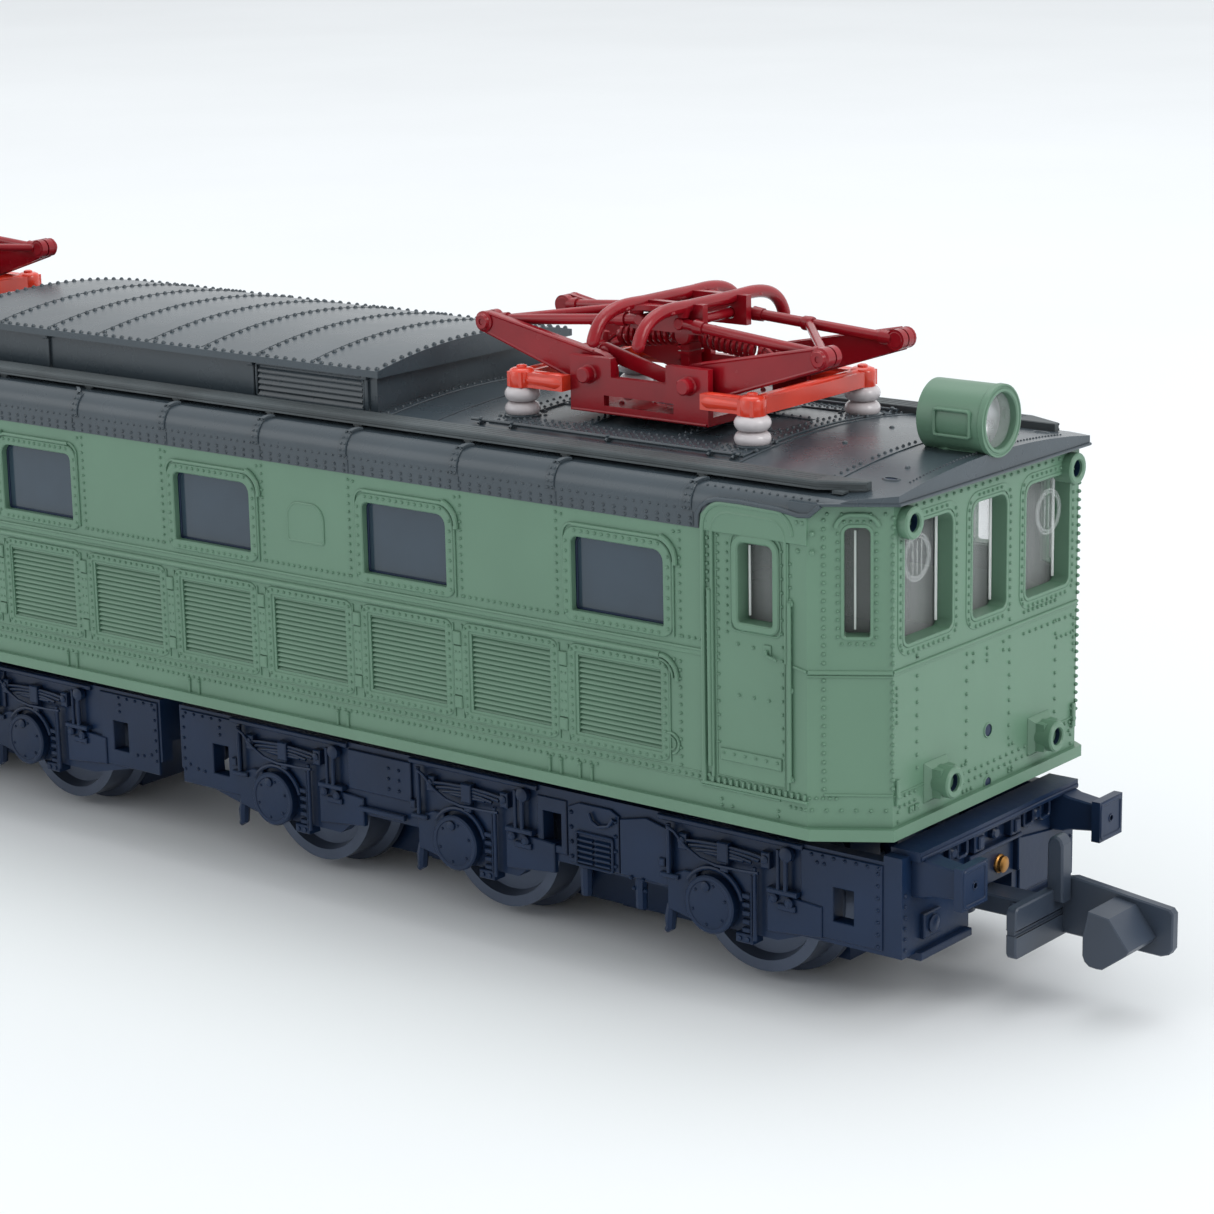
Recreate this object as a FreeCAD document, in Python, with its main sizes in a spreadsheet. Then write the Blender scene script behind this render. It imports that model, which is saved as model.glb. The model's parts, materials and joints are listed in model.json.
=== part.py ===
import FreeCAD, Part
import math
import os
import re
import Sketcher
from FreeCAD import Placement, Rotation, Vector

# N-scale model electric locomotive, millimetres.
# Origin: middle of the footprint at the level of the wheel flanges' lowest points.
# +X points to the front cab, +Z up.  Both ends are alike: every rear piece is
# the front piece turned half a turn about Z.

doc = FreeCAD.newDocument("ElectricLocomotive")

# ---------------------------------------------------------------- driving dimensions
DIMENSIONS = [
    # body shell
    ("body_half_length", 46.86),
    ("body_half_width", 10.0),
    ("front_half_width", 7.92),
    ("chamfer_length", 3.19),
    ("body_bottom", 9.2),
    ("side_top", 22.8),
    ("cab_top", 24.55),
    ("cab_top_start", 43.0),
    ("shell_wall", 0.9),
    ("lip_depth", 0.25),
    ("lip_height", 0.55),
    ("window_pitch", 13.2),
    ("panel_pitch", 6.6),
    ("window_width", 5.5),
    ("window_sill", 17.87),
    ("window_head", 21.54),
    ("panel_bottom", 11.7),
    ("panel_top", 16.1),
    ("panel_recess", 0.2),
    ("door_window_start", 39.9),
    ("door_window_end", 41.9),
    ("door_window_sill", 18.7),
    ("door_window_head", 22.5),
    ("front_window_sill", 18.0),
    ("front_window_head", 23.5),
    ("side_pane_inner", 3.1),
    ("side_pane_outer", 7.1),
    ("centre_pane_half", 1.5),
    ("chamfer_pane_width", 1.24),
    ("chamfer_pane_shift", 0.32),
    ("chamfer_pane_sill", 18.55),
    ("chamfer_pane_head", 23.6),
    # lamps
    ("low_lamp_offset", 4.48),
    ("low_lamp_height", 11.2),
    ("high_lamp_offset", 6.98),
    ("high_lamp_height", 23.66),
    ("lamp_outer", 0.72),
    ("lamp_bore", 0.45),
    ("headlight_radius", 1.65),
    ("headlight_height", 27.1),
    ("headlight_back", 43.9),
    ("headlight_front", 47.4),
    # roof
    ("roof_half_width", 10.05),
    ("roof_overhang", 0.44),
    ("roof_thickness", 0.8),
    ("roof_eave", 24.6),
    ("shoulder_half_width", 9.35),
    ("shoulder_height", 24.85),
    ("deck_crown", 25.7),
    ("clerestory_half_length", 15.6),
    ("clerestory_half_width", 7.0),
    ("clerestory_eave", 27.5),
    ("clerestory_crown", 28.3),
    ("clerestory_overhang", 0.6),
    ("walkway_half_length", 45.6),
    ("walkway_outer", 9.05),
    ("walkway_width", 1.3),
    ("walkway_top", 25.5),
    ("walkway_thickness", 0.4),
    # running gear
    ("axle_height", 4.2),
    ("axle_radius", 0.75),
    ("tread_radius", 3.65),
    ("flange_radius", 4.2),
    ("back_to_back", 7.5),
    ("wheel_width", 2.35),
    ("inner_axle", 9.6),
    ("middle_axle", 22.3),
    ("outer_axle", 38.2),
    ("bogie_pivot", 23.9),
    ("turret_radius", 5.2),
    ("turret_gap", 0.07),
    ("bogie_inner_end", 0.75),
    ("bogie_outer_end", 46.2),
    ("frame_outer", 7.5),
    ("frame_thickness", 0.75),
    ("frame_top", 7.9),
    ("buffer_face", 50.04),
    ("buffer_offset", 6.03),
    ("buffer_height", 7.15),
    ("buffer_width", 2.1),
    ("coupler_pivot", 45.3),
    # drive
    ("gear_module", 0.4),
    ("worm_pitch_radius", 1.3),
    ("worm_wheel_teeth", 16),
    ("axle_gear_teeth", 12),
    ("idler_teeth_inner", 12),
    ("idler_teeth_outer", 13),
    ("shaft_radius", 0.75),
    ("motor_radius", 5.2),
    ("motor_half_length", 8.5),
    ("flywheel_radius", 3.9),
    # pantographs
    ("pantograph_centre", 29.85),
    ("insulator_spread", 6.94),
    ("insulator_offset", 4.51),
    ("insulator_top", 27.0),
    ("base_half_length", 4.15),
    ("arm_pivot_offset", 3.0),
    ("arm_pivot_height", 27.9),
    ("knee_offset", 10.1),
    ("knee_height", 29.75),
    ("head_pivot_offset", 1.2),
    ("head_pivot_height", 30.45),
    ("strip_offset", 1.35),
    ("strip_half_length", 6.0),
    ("strip_flat", 3.7),
    ("strip_radius", 0.32),
    ("strip_top", 31.55),
]

sheet = doc.addObject("Spreadsheet::Sheet", "Dims")
for row, (alias, amount) in enumerate(DIMENSIONS, start=1):
    sheet.set("A%d" % row, alias)
    sheet.set("B%d" % row, str(amount))
    sheet.setAlias("B%d" % row, alias)
doc.recompute()

ALIASES = {alias for alias, amount in DIMENSIONS}
nodes = []


def dim(alias):
    """The number in one cell of the sheet."""
    return float(sheet.get(alias))


def formula(text):
    """Turns alias words into references to the sheet."""
    def swap(match):
        word = match.group(0)
        return "Dims." + word if word in ALIASES else word
    return re.sub(r"[a-z_]+", swap, str(text))


def bind(item, prop, text):
    item.setExpression(prop, formula(text))


def amount_of(text):
    """The present value of a formula."""
    result = sheet.evalExpression(formula(text))
    return float(getattr(result, "Value", result))


def keep(item, label):
    """Names a finished sub-part and lists it for export."""
    item.Label = label
    nodes.append(item)
    return item


# ---------------------------------------------------------------- primitives
def block(name, low, size):
    """A box from its lowest corner and its size, both as formulas."""
    item = doc.addObject("Part::Box", name)
    for prop, text in zip(("Length", "Width", "Height"), size):
        bind(item, prop, text)
    for axis, text in zip("xyz", low):
        bind(item, "Placement.Base." + axis, text)
    return item


TURN = {
    "x": Rotation(Vector(0, 1, 0), 90),
    "y": Rotation(Vector(1, 0, 0), -90),
    "z": Rotation(),
}


def rod(name, radius, length, start, axis="z"):
    """A cylinder that starts at a point and runs along +X, +Y or +Z."""
    item = doc.addObject("Part::Cylinder", name)
    bind(item, "Radius", radius)
    bind(item, "Height", length)
    item.Placement = Placement(Vector(), TURN[axis])
    for letter, text in zip("xyz", start):
        bind(item, "Placement.Base." + letter, text)
    return item


def fuse(name, items):
    result = doc.addObject("Part::MultiFuse", name)
    result.Shapes = items
    return result


def cut(name, base, tools):
    """Base less one or more tools."""
    result = doc.addObject("Part::Cut", name)
    result.Base = base
    result.Tool = tools[0] if len(tools) == 1 else group(name + "_tools", tools)
    return result


def group(name, items):
    result = doc.addObject("Part::Compound", name)
    result.Links = items
    return result


def feature(name, shape):
    item = doc.addObject("Part::Feature", name)
    item.Shape = shape
    return item


HALF_TURN = Placement(Vector(), Rotation(Vector(0, 0, 1), 180))


def at_end(item, end):
    """Front pieces stay where they are built; rear ones turn half a turn about Z."""
    if end == "rear":
        item.Placement = HALF_TURN.multiply(item.Placement)
    return item


# ---------------------------------------------------------------- sketched bodies
def new_body(name):
    return doc.addObject("PartDesign::Body", name)


def plane_of(body, role):
    return [item for item in body.Origin.OriginFeatures if item.Role == role][0]


def sketch_on(body, role, offset="0"):
    sketch = body.newObject("Sketcher::SketchObject", body.Name + "_sketch")
    sketch.AttachmentSupport = [(plane_of(body, role), "")]
    sketch.MapMode = "FlatFace"
    bind(sketch, "AttachmentOffset.Base.z", offset)
    return sketch


def outline(sketch, corners):
    """A closed outline whose corners are all bound to the sheet."""
    values = [(amount_of(u), amount_of(v)) for u, v in corners]
    count = len(corners)
    first = sketch.GeometryCount
    for index in range(count):
        here = values[index]
        there = values[(index + 1) % count]
        line = Part.LineSegment(Vector(here[0], here[1], 0), Vector(there[0], there[1], 0))
        sketch.addGeometry(line, False)
    for index in range(count):
        following = first + (index + 1) % count
        sketch.addConstraint(Sketcher.Constraint("Coincident", first + index, 2, following, 1))
    for index, (u, v) in enumerate(corners):
        for kind, text, number in (("DistanceX", u, values[index][0]),
                                   ("DistanceY", v, values[index][1])):
            if abs(number) < 1e-9:
                rule = Sketcher.Constraint(
                    "PointOnObject", first + index, 1, -2 if kind == "DistanceX" else -1)
                sketch.addConstraint(rule)
                continue
            rule = Sketcher.Constraint(kind, -1, 1, first + index, 1, number)
            place = sketch.addConstraint(rule)
            bind(sketch, "Constraints[%d]" % place, text)


def rectangle(sketch, u0, v0, u1, v1):
    outline(sketch, [(u0, v0), (u1, v0), (u1, v1), (u0, v1)])


def pad(body, sketch, length, symmetric=False, backwards=False):
    item = body.newObject("PartDesign::Pad", body.Name + "_pad")
    item.Profile = sketch
    bind(item, "Length", length)
    item.SideType = "Symmetric" if symmetric else "One side"
    item.Reversed = backwards
    return item


def pocket(body, sketch, length, symmetric=False, backwards=False):
    item = body.newObject("PartDesign::Pocket", body.Name + "_pocket")
    item.Profile = sketch
    bind(item, "Length", length)
    item.SideType = "Symmetric" if symmetric else "One side"
    item.Reversed = backwards
    return item


def revolve(body, sketch, axis):
    item = body.newObject("PartDesign::Revolution", body.Name + "_turned")
    item.Profile = sketch
    item.ReferenceAxis = (sketch, [axis])
    item.Angle = 360
    return item


def plan(half_length, half_width, front_width, chamfer):
    """Eight-cornered plan: straight sides, chamfered corners, flat ends."""
    quarter = [(half_length, front_width), ("(%s) - (%s)" % (half_length, chamfer), half_width)]
    corners = list(quarter)
    corners += [("-(%s)" % u, v) for u, v in reversed(quarter)]
    corners += [("-(%s)" % u, "-(%s)" % v) for u, v in quarter]
    corners += [(u, "-(%s)" % v) for u, v in reversed(quarter)]
    return corners


# ---------------------------------------------------------------- body shell
def chamfer_tool(name, side):
    """A box through one chamfered corner, for its tall narrow window."""
    half_length = dim("body_half_length")
    chamfer = dim("chamfer_length")
    slope = dim("body_half_width") - dim("front_half_width")
    item = doc.addObject("Part::Box", name)
    bind(item, "Length", 3.0)
    bind(item, "Width", "chamfer_pane_width")
    bind(item, "Height", "chamfer_pane_head - chamfer_pane_sill")
    middle = Vector(half_length - chamfer / 2, side * (dim("front_half_width") + slope / 2),
                    dim("chamfer_pane_sill"))
    angle = side * math.degrees(math.atan2(chamfer, slope))
    turn = Rotation(Vector(0, 0, 1), angle)
    # the window sits a little nearer the cab front than the middle of the corner
    along = -side * dim("chamfer_pane_shift") - dim("chamfer_pane_width") / 2
    corner = turn.multVec(Vector(-1.5, along, 0))
    item.Placement = Placement(middle + corner, turn)
    return item


def build_body_shell():
    body = new_body("shell_moulding")
    walls = sketch_on(body, "XY_Plane", "body_bottom")
    outline(walls, plan("body_half_length", "body_half_width", "front_half_width",
                        "chamfer_length"))
    pad(body, walls, "side_top - body_bottom")
    lip = sketch_on(body, "XY_Plane", "body_bottom")
    outline(lip, plan("body_half_length + lip_depth", "body_half_width + lip_depth",
                      "front_half_width + lip_depth", "chamfer_length"))
    pad(body, lip, "lip_height")
    for sign in ("", "-"):
        cab = sketch_on(body, "XY_Plane", "side_top")
        corners = [("cab_top_start", "-body_half_width"),
                   ("body_half_length - chamfer_length", "-body_half_width"),
                   ("body_half_length", "-front_half_width"),
                   ("body_half_length", "front_half_width"),
                   ("body_half_length - chamfer_length", "body_half_width"),
                   ("cab_top_start", "body_half_width")]
        outline(cab, [("%s(%s)" % (sign, u), v) for u, v in corners])
        pad(body, cab, "cab_top - side_top")
    inside = sketch_on(body, "XY_Plane", "body_bottom")
    outline(inside, plan("body_half_length - shell_wall", "body_half_width - shell_wall",
                         "front_half_width - 0.54 * shell_wall",
                         "chamfer_length - 0.7 * shell_wall"))
    pocket(body, inside, "cab_top - body_bottom", backwards=True)
    sides = sketch_on(body, "XZ_Plane")
    for count in (-2.5, -1.5, -0.5, 0.5, 1.5, 2.5):
        middle = "%s * window_pitch" % count
        rectangle(sides, middle + " - window_width / 2", "window_sill",
                  middle + " + window_width / 2", "window_head")
    rectangle(sides, "door_window_start", "door_window_sill",
              "door_window_end", "door_window_head")
    rectangle(sides, "-door_window_end", "door_window_sill",
              "-door_window_start", "door_window_head")
    pocket(body, sides, "4 * body_half_width", symmetric=True)
    ends = sketch_on(body, "YZ_Plane")
    for low, high in (("-side_pane_outer", "-side_pane_inner"),
                      ("-centre_pane_half", "centre_pane_half"),
                      ("side_pane_inner", "side_pane_outer")):
        rectangle(ends, low, "front_window_sill", high, "front_window_head")
    pocket(body, ends, "4 * body_half_length", symmetric=True)

    tubes = []
    bores = []
    for end, direction in (("front", 1), ("rear", -1)):
        for side in (-1, 1):
            for level, reach in (("low", 1.1), ("high", 0.5)):
                tag = "%s_%s_%d" % (end, level, side + 1)
                y = "%d * %s_lamp_offset" % (side, level)
                z = level + "_lamp_height"
                face = "body_half_length"
                start = face + " - 0.5" if direction > 0 else "-%s - %s" % (face, reach)
                tubes.append(rod("tube_" + tag, "lamp_outer", "0.5 + %s" % reach,
                                 (start, y, z), "x"))
                start = face + " - 1.5" if direction > 0 else "-%s - 2" % face
                bores.append(rod("bore_" + tag, "lamp_bore", "3.5", (start, y, z), "x"))
            chamfer = chamfer_tool("pane_%s_%d" % (end, side + 1), side)
            bores.append(at_end_group(chamfer, end))
    panels = []
    for index in range(-5, 6):
        for side in (-1, 1):
            y = "body_half_width - panel_recess" if side > 0 else "-body_half_width - 1"
            width = "1 + panel_recess"
            panels.append(block("panel_%d_%d" % (index + 5, side + 1),
                                ("%d * panel_pitch - window_width / 2 + 0.3" % index, y,
                                 "panel_bottom + 0.3"),
                                ("window_width - 0.6", width, "panel_top - panel_bottom - 0.6")))
    shell = cut("body_shell_cut", fuse("body_shell_fuse", [body] + tubes), bores + panels)
    return keep(shell, "body_shell")


def at_end_group(item, end):
    """One tool in a group of its own, so that the group can be turned to the rear."""
    return at_end(group(item.Name + "_set", [item]), end)


# ---------------------------------------------------------------- roof
def arch_radius(half_chord, rise):
    return (half_chord ** 2 + rise ** 2) / (2 * rise)


def roof_face(drop):
    """Roof section in YZ, sunk by drop all round: cornice, shoulder and arched deck."""
    half = dim("roof_half_width") - drop
    shoulder = dim("shoulder_half_width") - drop
    bottom = dim("side_top") - (1.0 if drop else 0.0)
    cornice = dim("side_top") + 0.75
    low = dim("shoulder_height") - drop
    crown = dim("deck_crown") - drop
    left = [Vector(0, -half, bottom), Vector(0, -half, cornice), Vector(0, -shoulder, low)]
    right = [Vector(0, -point.y, point.z) for point in reversed(left)]
    bulge = Vector(0, half - 0.12, (cornice + low) / 2 + 0.12)
    edges = [
        Part.LineSegment(left[0], left[1]),
        Part.Arc(left[1], Vector(0, -bulge.y, bulge.z), left[2]),
        Part.Arc(left[2], Vector(0, 0, crown), right[0]),
        Part.Arc(right[0], bulge, right[1]),
        Part.LineSegment(right[1], right[2]),
        Part.LineSegment(right[2], left[0]),
    ]
    return Part.Face(Part.Wire([edge.toShape() for edge in edges]))


def plan_solid(grow, bottom, top):
    """The body's eight-cornered plan, grown sideways, as a prism."""
    length = dim("body_half_length") + grow
    start = dim("body_half_length") - dim("chamfer_length") + 0.4 * grow
    width = dim("roof_half_width") + 1.0
    front = dim("front_half_width") + 0.5 * grow
    slope = (dim("body_half_width") - dim("front_half_width")) / dim("chamfer_length")
    outer = front + slope * (length - start)
    quarter = [(length, front), (start, outer), (start, width)]
    corners = [(x, y) for x, y in quarter]
    corners += [(-x, y) for x, y in reversed(quarter)]
    corners += [(-x, -y) for x, y in quarter]
    corners += [(x, -y) for x, y in reversed(quarter)]
    points = [Vector(x, y, bottom) for x, y in corners]
    return Part.Face(Part.makePolygon(points + points[:1])).extrude(Vector(0, 0, top - bottom))


def roof_shape(drop):
    """Full-length roof moulding shape before hollowing, with its eaves at the cabs."""
    length = dim("body_half_length") + dim("roof_overhang")
    bar = roof_face(drop).extrude(Vector(2 * length, 0, 0))
    bar.translate(Vector(-length, 0, 0))
    return bar


def build_roof():
    length = dim("body_half_length") + dim("roof_overhang")
    outer = roof_shape(0.0).common(plan_solid(dim("roof_overhang"), 20, 30))
    inner = roof_shape(dim("roof_thickness"))
    hollow = dim("cab_top_start") + 0.2
    keep_out = Part.makeBox(2 * hollow, 30, 10, Vector(-hollow, -15, 20))
    shell = outer.cut(inner.common(keep_out))
    for x in (dim("cab_top_start"), -length - 1):
        end = Part.makeBox(length + 1 - dim("cab_top_start"), 30, dim("roof_eave") - 20,
                           Vector(x, -15, 20))
        shell = shell.cut(end)
    return keep(feature("roof_moulding", shell.removeSplitter()), "roof")


def build_clerestory():
    """Raised middle of the roof: walls, overhanging eaves and an arched top."""
    half = dim("clerestory_half_width")
    over = dim("clerestory_overhang")
    eave = dim("clerestory_eave")
    low = dim("deck_crown") - 1.5
    walls = Part.makeBox(2 * dim("clerestory_half_length"), 2 * half, eave - low,
                         Vector(-dim("clerestory_half_length"), -half, low))
    long = dim("clerestory_half_length") + over
    left = Vector(-long, -half - over, eave - 0.35)
    upper = Vector(-long, -half - over, eave)
    right = Vector(-long, half + over, eave)
    lower = Vector(-long, half + over, eave - 0.35)
    edges = [
        Part.LineSegment(left, upper),
        Part.Arc(upper, Vector(-long, 0, dim("clerestory_crown")), right),
        Part.LineSegment(right, lower),
        Part.LineSegment(lower, left),
    ]
    top = Part.Face(Part.Wire([edge.toShape() for edge in edges])).extrude(Vector(2 * long, 0, 0))
    raised = feature("clerestory_raised", walls.fuse(top).removeSplitter())
    hull = feature("clerestory_deck", roof_shape(0.0))
    result = cut("clerestory_cut", raised, [hull])
    return keep(result, "roof_clerestory")


BRACKETS = (10.0, 16.0, 23.2, 29.2, 37.2, 44.6)


def build_walkway(side):
    """Plank on brackets along one edge of the roof."""
    inner = "walkway_outer - walkway_width"
    y = inner if side == "left" else "-walkway_outer"
    items = [block(side + "_plank", ("-walkway_half_length", y, "walkway_top - walkway_thickness"),
                   ("2 * walkway_half_length", "walkway_width", "walkway_thickness"))]
    for sign in (-1, 1):
        for index, place in enumerate(BRACKETS):
            items.append(block("%s_bracket_%d_%d" % (side, sign + 1, index),
                               ("%s - 0.35" % (sign * place), y, "walkway_top - 1.3"),
                               ("0.7", "walkway_width", "1.0")))
    hull = feature(side + "_roof_hull", roof_shape(0.0))
    result = cut(side + "_walkway_cut", fuse(side + "_walkway_fuse", items), [hull])
    return keep(result, "walkway_" + side)


# ---------------------------------------------------------------- glazing and lamps
def build_side_glazing():
    """One tinted strip behind the windows of each side."""
    strips = []
    for side, y in (("left", "body_half_width - shell_wall - 0.35"),
                    ("right", "-(body_half_width - shell_wall)")):
        strips.append(block("tinted_" + side, ("-2.9 * window_pitch", y, "window_sill - 0.5"),
                            ("5.8 * window_pitch", "0.35", "window_head - window_sill + 1.0")))
    return keep(group("side_glazing_set", strips), "side_glazing")


def build_cab_glazing(end):
    """Clear moulding inside one cab: front pane, chamfer panes and door panes."""
    body = new_body("cab_glazing_" + end + "_body")
    sketch = sketch_on(body, "XY_Plane", "front_window_sill - 0.4")
    wall = "(shell_wall + 0.02)"
    outer = [("38.6", "body_half_width - shell_wall - 0.02"),
             ("body_half_length - chamfer_length - 0.42 * (%s)" % wall,
              "body_half_width - shell_wall - 0.02"),
             ("body_half_length - %s" % wall, "front_half_width - 0.6 * shell_wall")]
    inner = [("body_half_length - shell_wall - 0.4", "front_half_width - 0.6 * shell_wall - 0.2"),
             ("body_half_length - chamfer_length - 0.5 * shell_wall - 0.15",
              "body_half_width - shell_wall - 0.4"),
             ("38.6", "body_half_width - shell_wall - 0.4")]
    corners = outer + [(u, "-(%s)" % v) for u, v in reversed(outer)]
    corners += [(u, "-(%s)" % v) for u, v in reversed(inner)] + inner
    outline(sketch, corners)
    pad(body, sketch, "front_window_head - front_window_sill + 0.7")
    return keep(at_end(body, end), "cab_glazing_" + end)


def build_headlight(end):
    """Drum headlight on a small foot over the cab front."""
    drum = rod("drum_" + end, "headlight_radius", "headlight_front - headlight_back",
               ("headlight_back", "0", "headlight_height"), "x")
    foot = block("foot_" + end, ("44.9", "-0.7", "deck_crown"),
                 ("1.5", "1.4", "headlight_height - deck_crown"))
    bowl = rod("bowl_" + end, "headlight_radius - 0.35", "1.8",
               ("headlight_front - 1.6", "0", "headlight_height"), "x")
    deck = feature("headlight_deck_" + end, roof_shape(0.0))
    housing = cut("headlight_cut_" + end, fuse("headlight_fuse_" + end, [drum, foot]),
                  [bowl, deck])
    return keep(at_end(housing, end), "headlight_" + end)


def build_lamp_lenses():
    """Clear lenses: one in each headlight and one in each of the eight lamp tubes."""
    items = []
    for end in ("front", "rear"):
        pieces = [rod("glass_" + end, "headlight_radius - 0.38", "0.5",
                      ("headlight_front - 0.8", "0", "headlight_height"), "x")]
        for level in ("low", "high"):
            for side in (-1, 1):
                pieces.append(rod("lens_%s_%s_%d" % (end, level, side + 1), "lamp_bore - 0.03",
                                  "0.75", ("body_half_length - 0.85",
                                          "%d * %s_lamp_offset" % (side, level),
                                          level + "_lamp_height"), "x"))
        items.append(at_end(group("lenses_" + end, pieces), end))
    return keep(group("lamp_lens_set", items), "lamp_lenses")


def build_handrails():
    """Eight door handrails, each a wire held off the side by three stanchions."""
    wires = []
    for sign in (-1, 1):
        for place in (38.35, 42.8):
            for side in (-1, 1):
                tag = "%d_%d_%d" % (sign + 1, place, side + 1)
                x = "%s" % (sign * place)
                y = "%d * (body_half_width + 0.12)" % side
                wire = [rod("rail_" + tag, "0.1", "8.3", (x, y, "11.75"))]
                for index, level in enumerate((11.9, 15.9, 19.9)):
                    start = "body_half_width" if side > 0 else "-body_half_width - 0.12"
                    wire.append(rod("post_%s_%d" % (tag, index), "0.09", "0.12",
                                    (x, start, str(level)), "y"))
                wires.append(fuse("handrail_" + tag, wire))
    return keep(group("handrail_set", wires), "cab_handrails")


# ---------------------------------------------------------------- chassis and motor
def worm_wheel_height():
    """Height of the worm wheel's centre, in mesh with the middle axle's gear."""
    mesh = dim("gear_module") * (dim("worm_wheel_teeth") + dim("axle_gear_teeth")) / 2
    across = dim("bogie_pivot") - dim("middle_axle")
    return dim("axle_height") + math.sqrt(mesh ** 2 - across ** 2)


def shaft_height():
    """Height of the motor shaft, with its worms on the worm wheels."""
    wheel = dim("gear_module") * dim("worm_wheel_teeth") / 2
    return worm_wheel_height() + wheel + dim("worm_pitch_radius")


def build_chassis():
    """Die-cast frame: floor, two side rails, shaft bearings and wells for the bogies."""
    shaft = str(round(shaft_height(), 4))
    parts = [block("floor", ("-45.2", "-6.6", "9.4"), ("90.4", "13.2", "1.3"))]
    for side, y in (("left", "5.7"), ("right", "-8.4")):
        parts.append(block("rail_" + side, ("-37", y, "9.4"), ("74", "2.7", "11.2")))
    for place in (-31.2, -18.4, 17.2, 30.0):
        tag = str(int(abs(place) * 10 + (place > 0)))
        parts.append(block("post_%s" % tag, (str(place), "-6", "10.4"), ("1.2", "12", "6.4")))
    for sign in (-1, 1):
        parts.append(block("cab_block_%d" % (sign + 1),
                           ("37 * %d - 4" % sign, "-6.6", "10.4"), ("8", "13.2", "4.6")))
    wells = [rod("shaft_way", "shaft_radius + 0.05", "80", ("-40", "0", shaft), "x"),
             rod("motor_way", "motor_radius + 0.05", "2 * motor_half_length + 0.4",
                 ("-motor_half_length - 0.2", "0", shaft), "x"),
             rod("flywheel_way", "flywheel_radius + 0.3", "32", ("-16", "0", shaft), "x")]
    for sign in (-1, 1):
        wells.append(block("bogie_well_%d" % (sign + 1),
                           ("bogie_pivot * %d - 5.3" % sign, "-3.4", "9"),
                           ("10.6", "6.8", "6.2")))
        wells.append(rod("turret_way_%d" % (sign + 1), "turret_radius + turret_gap", "1.6",
                         ("bogie_pivot * %d" % sign, "0", "9.2")))
        wells.append(block("screw_way_%d" % (sign + 1),
                           ("%d - 0.6" % (sign * 36), "-0.6", "9"), ("1.2", "1.2", "8")))
    return keep(cut("chassis_cut", fuse("chassis_fuse", parts), wells), "chassis_frame")


def build_motor():
    """Motor can with a bearing boss and a brush cover at each end."""
    shaft = str(round(shaft_height(), 4))
    can = rod("can", "motor_radius", "2 * motor_half_length - 1.6",
              ("-motor_half_length + 0.8", "0", shaft), "x")
    boss = rod("boss", "1.9", "2 * motor_half_length", ("-motor_half_length", "0", shaft), "x")
    bore = rod("motor_bore", "shaft_radius + 0.05", "2 * motor_half_length + 2",
               ("-motor_half_length - 1", "0", shaft), "x")
    flats = [block("flat_top", ("-20", "-8", shaft + " + motor_radius - 0.7"), ("40", "16", "4")),
             block("flat_low", ("-20", "-8", shaft + " - motor_radius - 3.55"),
                   ("40", "16", "4"))]
    return keep(cut("motor_cut", fuse("motor_fuse", [can, boss]), [bore] + flats), "motor_case")


SCREWS = ((-28, -7.0), (-28, 7.0), (28, -7.0), (28, 7.0))


def build_circuit_board():
    board = block("board_plate", ("-33", "-7.9", "20.6"), ("66", "15.8", "0.8"))
    items = [board]
    for index, (x, y, length, width, height) in enumerate((
            (-24, -3.5, 7, 5, 1.4), (-8, -2.5, 6, 5, 1.2), (6, 1.0, 3.2, 2.4, 1.8),
            (6, -4.0, 3.2, 2.4, 1.8), (16, -3.0, 8, 6, 1.4), (30.6, -2.0, 2.2, 4.0, 2.2),
            (-32.8, -2.0, 2.2, 4.0, 2.2))):
        items.append(block("chip_%d" % index, (str(x), str(y), "21.4"),
                           (str(length), str(width), str(height))))
    holes = [rod("board_hole_%d" % index, "0.55", "2", (str(x), str(y), "20"))
             for index, (x, y) in enumerate(SCREWS)]
    return keep(cut("board_cut", fuse("board_fuse", items), holes), "circuit_board")


def build_screws():
    """Four pan-head screws that hold the board on the chassis rails."""
    screws = []
    for index, (x, y) in enumerate(SCREWS):
        head = rod("screw_head_%d" % index, "0.85", "0.6", (str(x), str(y), "21.4"))
        shank = rod("screw_shank_%d" % index, "0.5", "0.9", (str(x), str(y), "20.6"))
        slot = block("screw_slot_%d" % index, ("%s - 1" % x, "%s - 0.12" % y, "21.8"),
                     ("2", "0.24", "0.3"))
        screws.append(cut("screw_%d" % index, fuse("screw_raw_%d" % index, [head, shank]),
                          [slot]))
    return keep(group("screw_set", screws), "board_screws")


def build_light_guides():
    """Clear bars under the cab roofs that carry light from the board to the lamps."""
    bars = []
    for end in ("front", "rear"):
        bar = block("guide_" + end, ("35", "-0.8", "22.4"), ("8.4", "1.6", "1.2"))
        cross = block("guide_cross_" + end, ("42.6", "-6.0", "23.85"), ("1.0", "12.0", "0.6"))
        riser = block("guide_riser_" + end, ("42.6", "-0.8", "22.4"), ("1.0", "1.6", "2.0"))
        bars.append(at_end(fuse("guide_fuse_" + end, [bar, cross, riser]), end))
    return keep(group("guide_set", bars), "light_guides")


# ---------------------------------------------------------------- gears
PRESSURE = math.radians(25)


def involute(angle):
    return math.tan(angle) - angle


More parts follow.
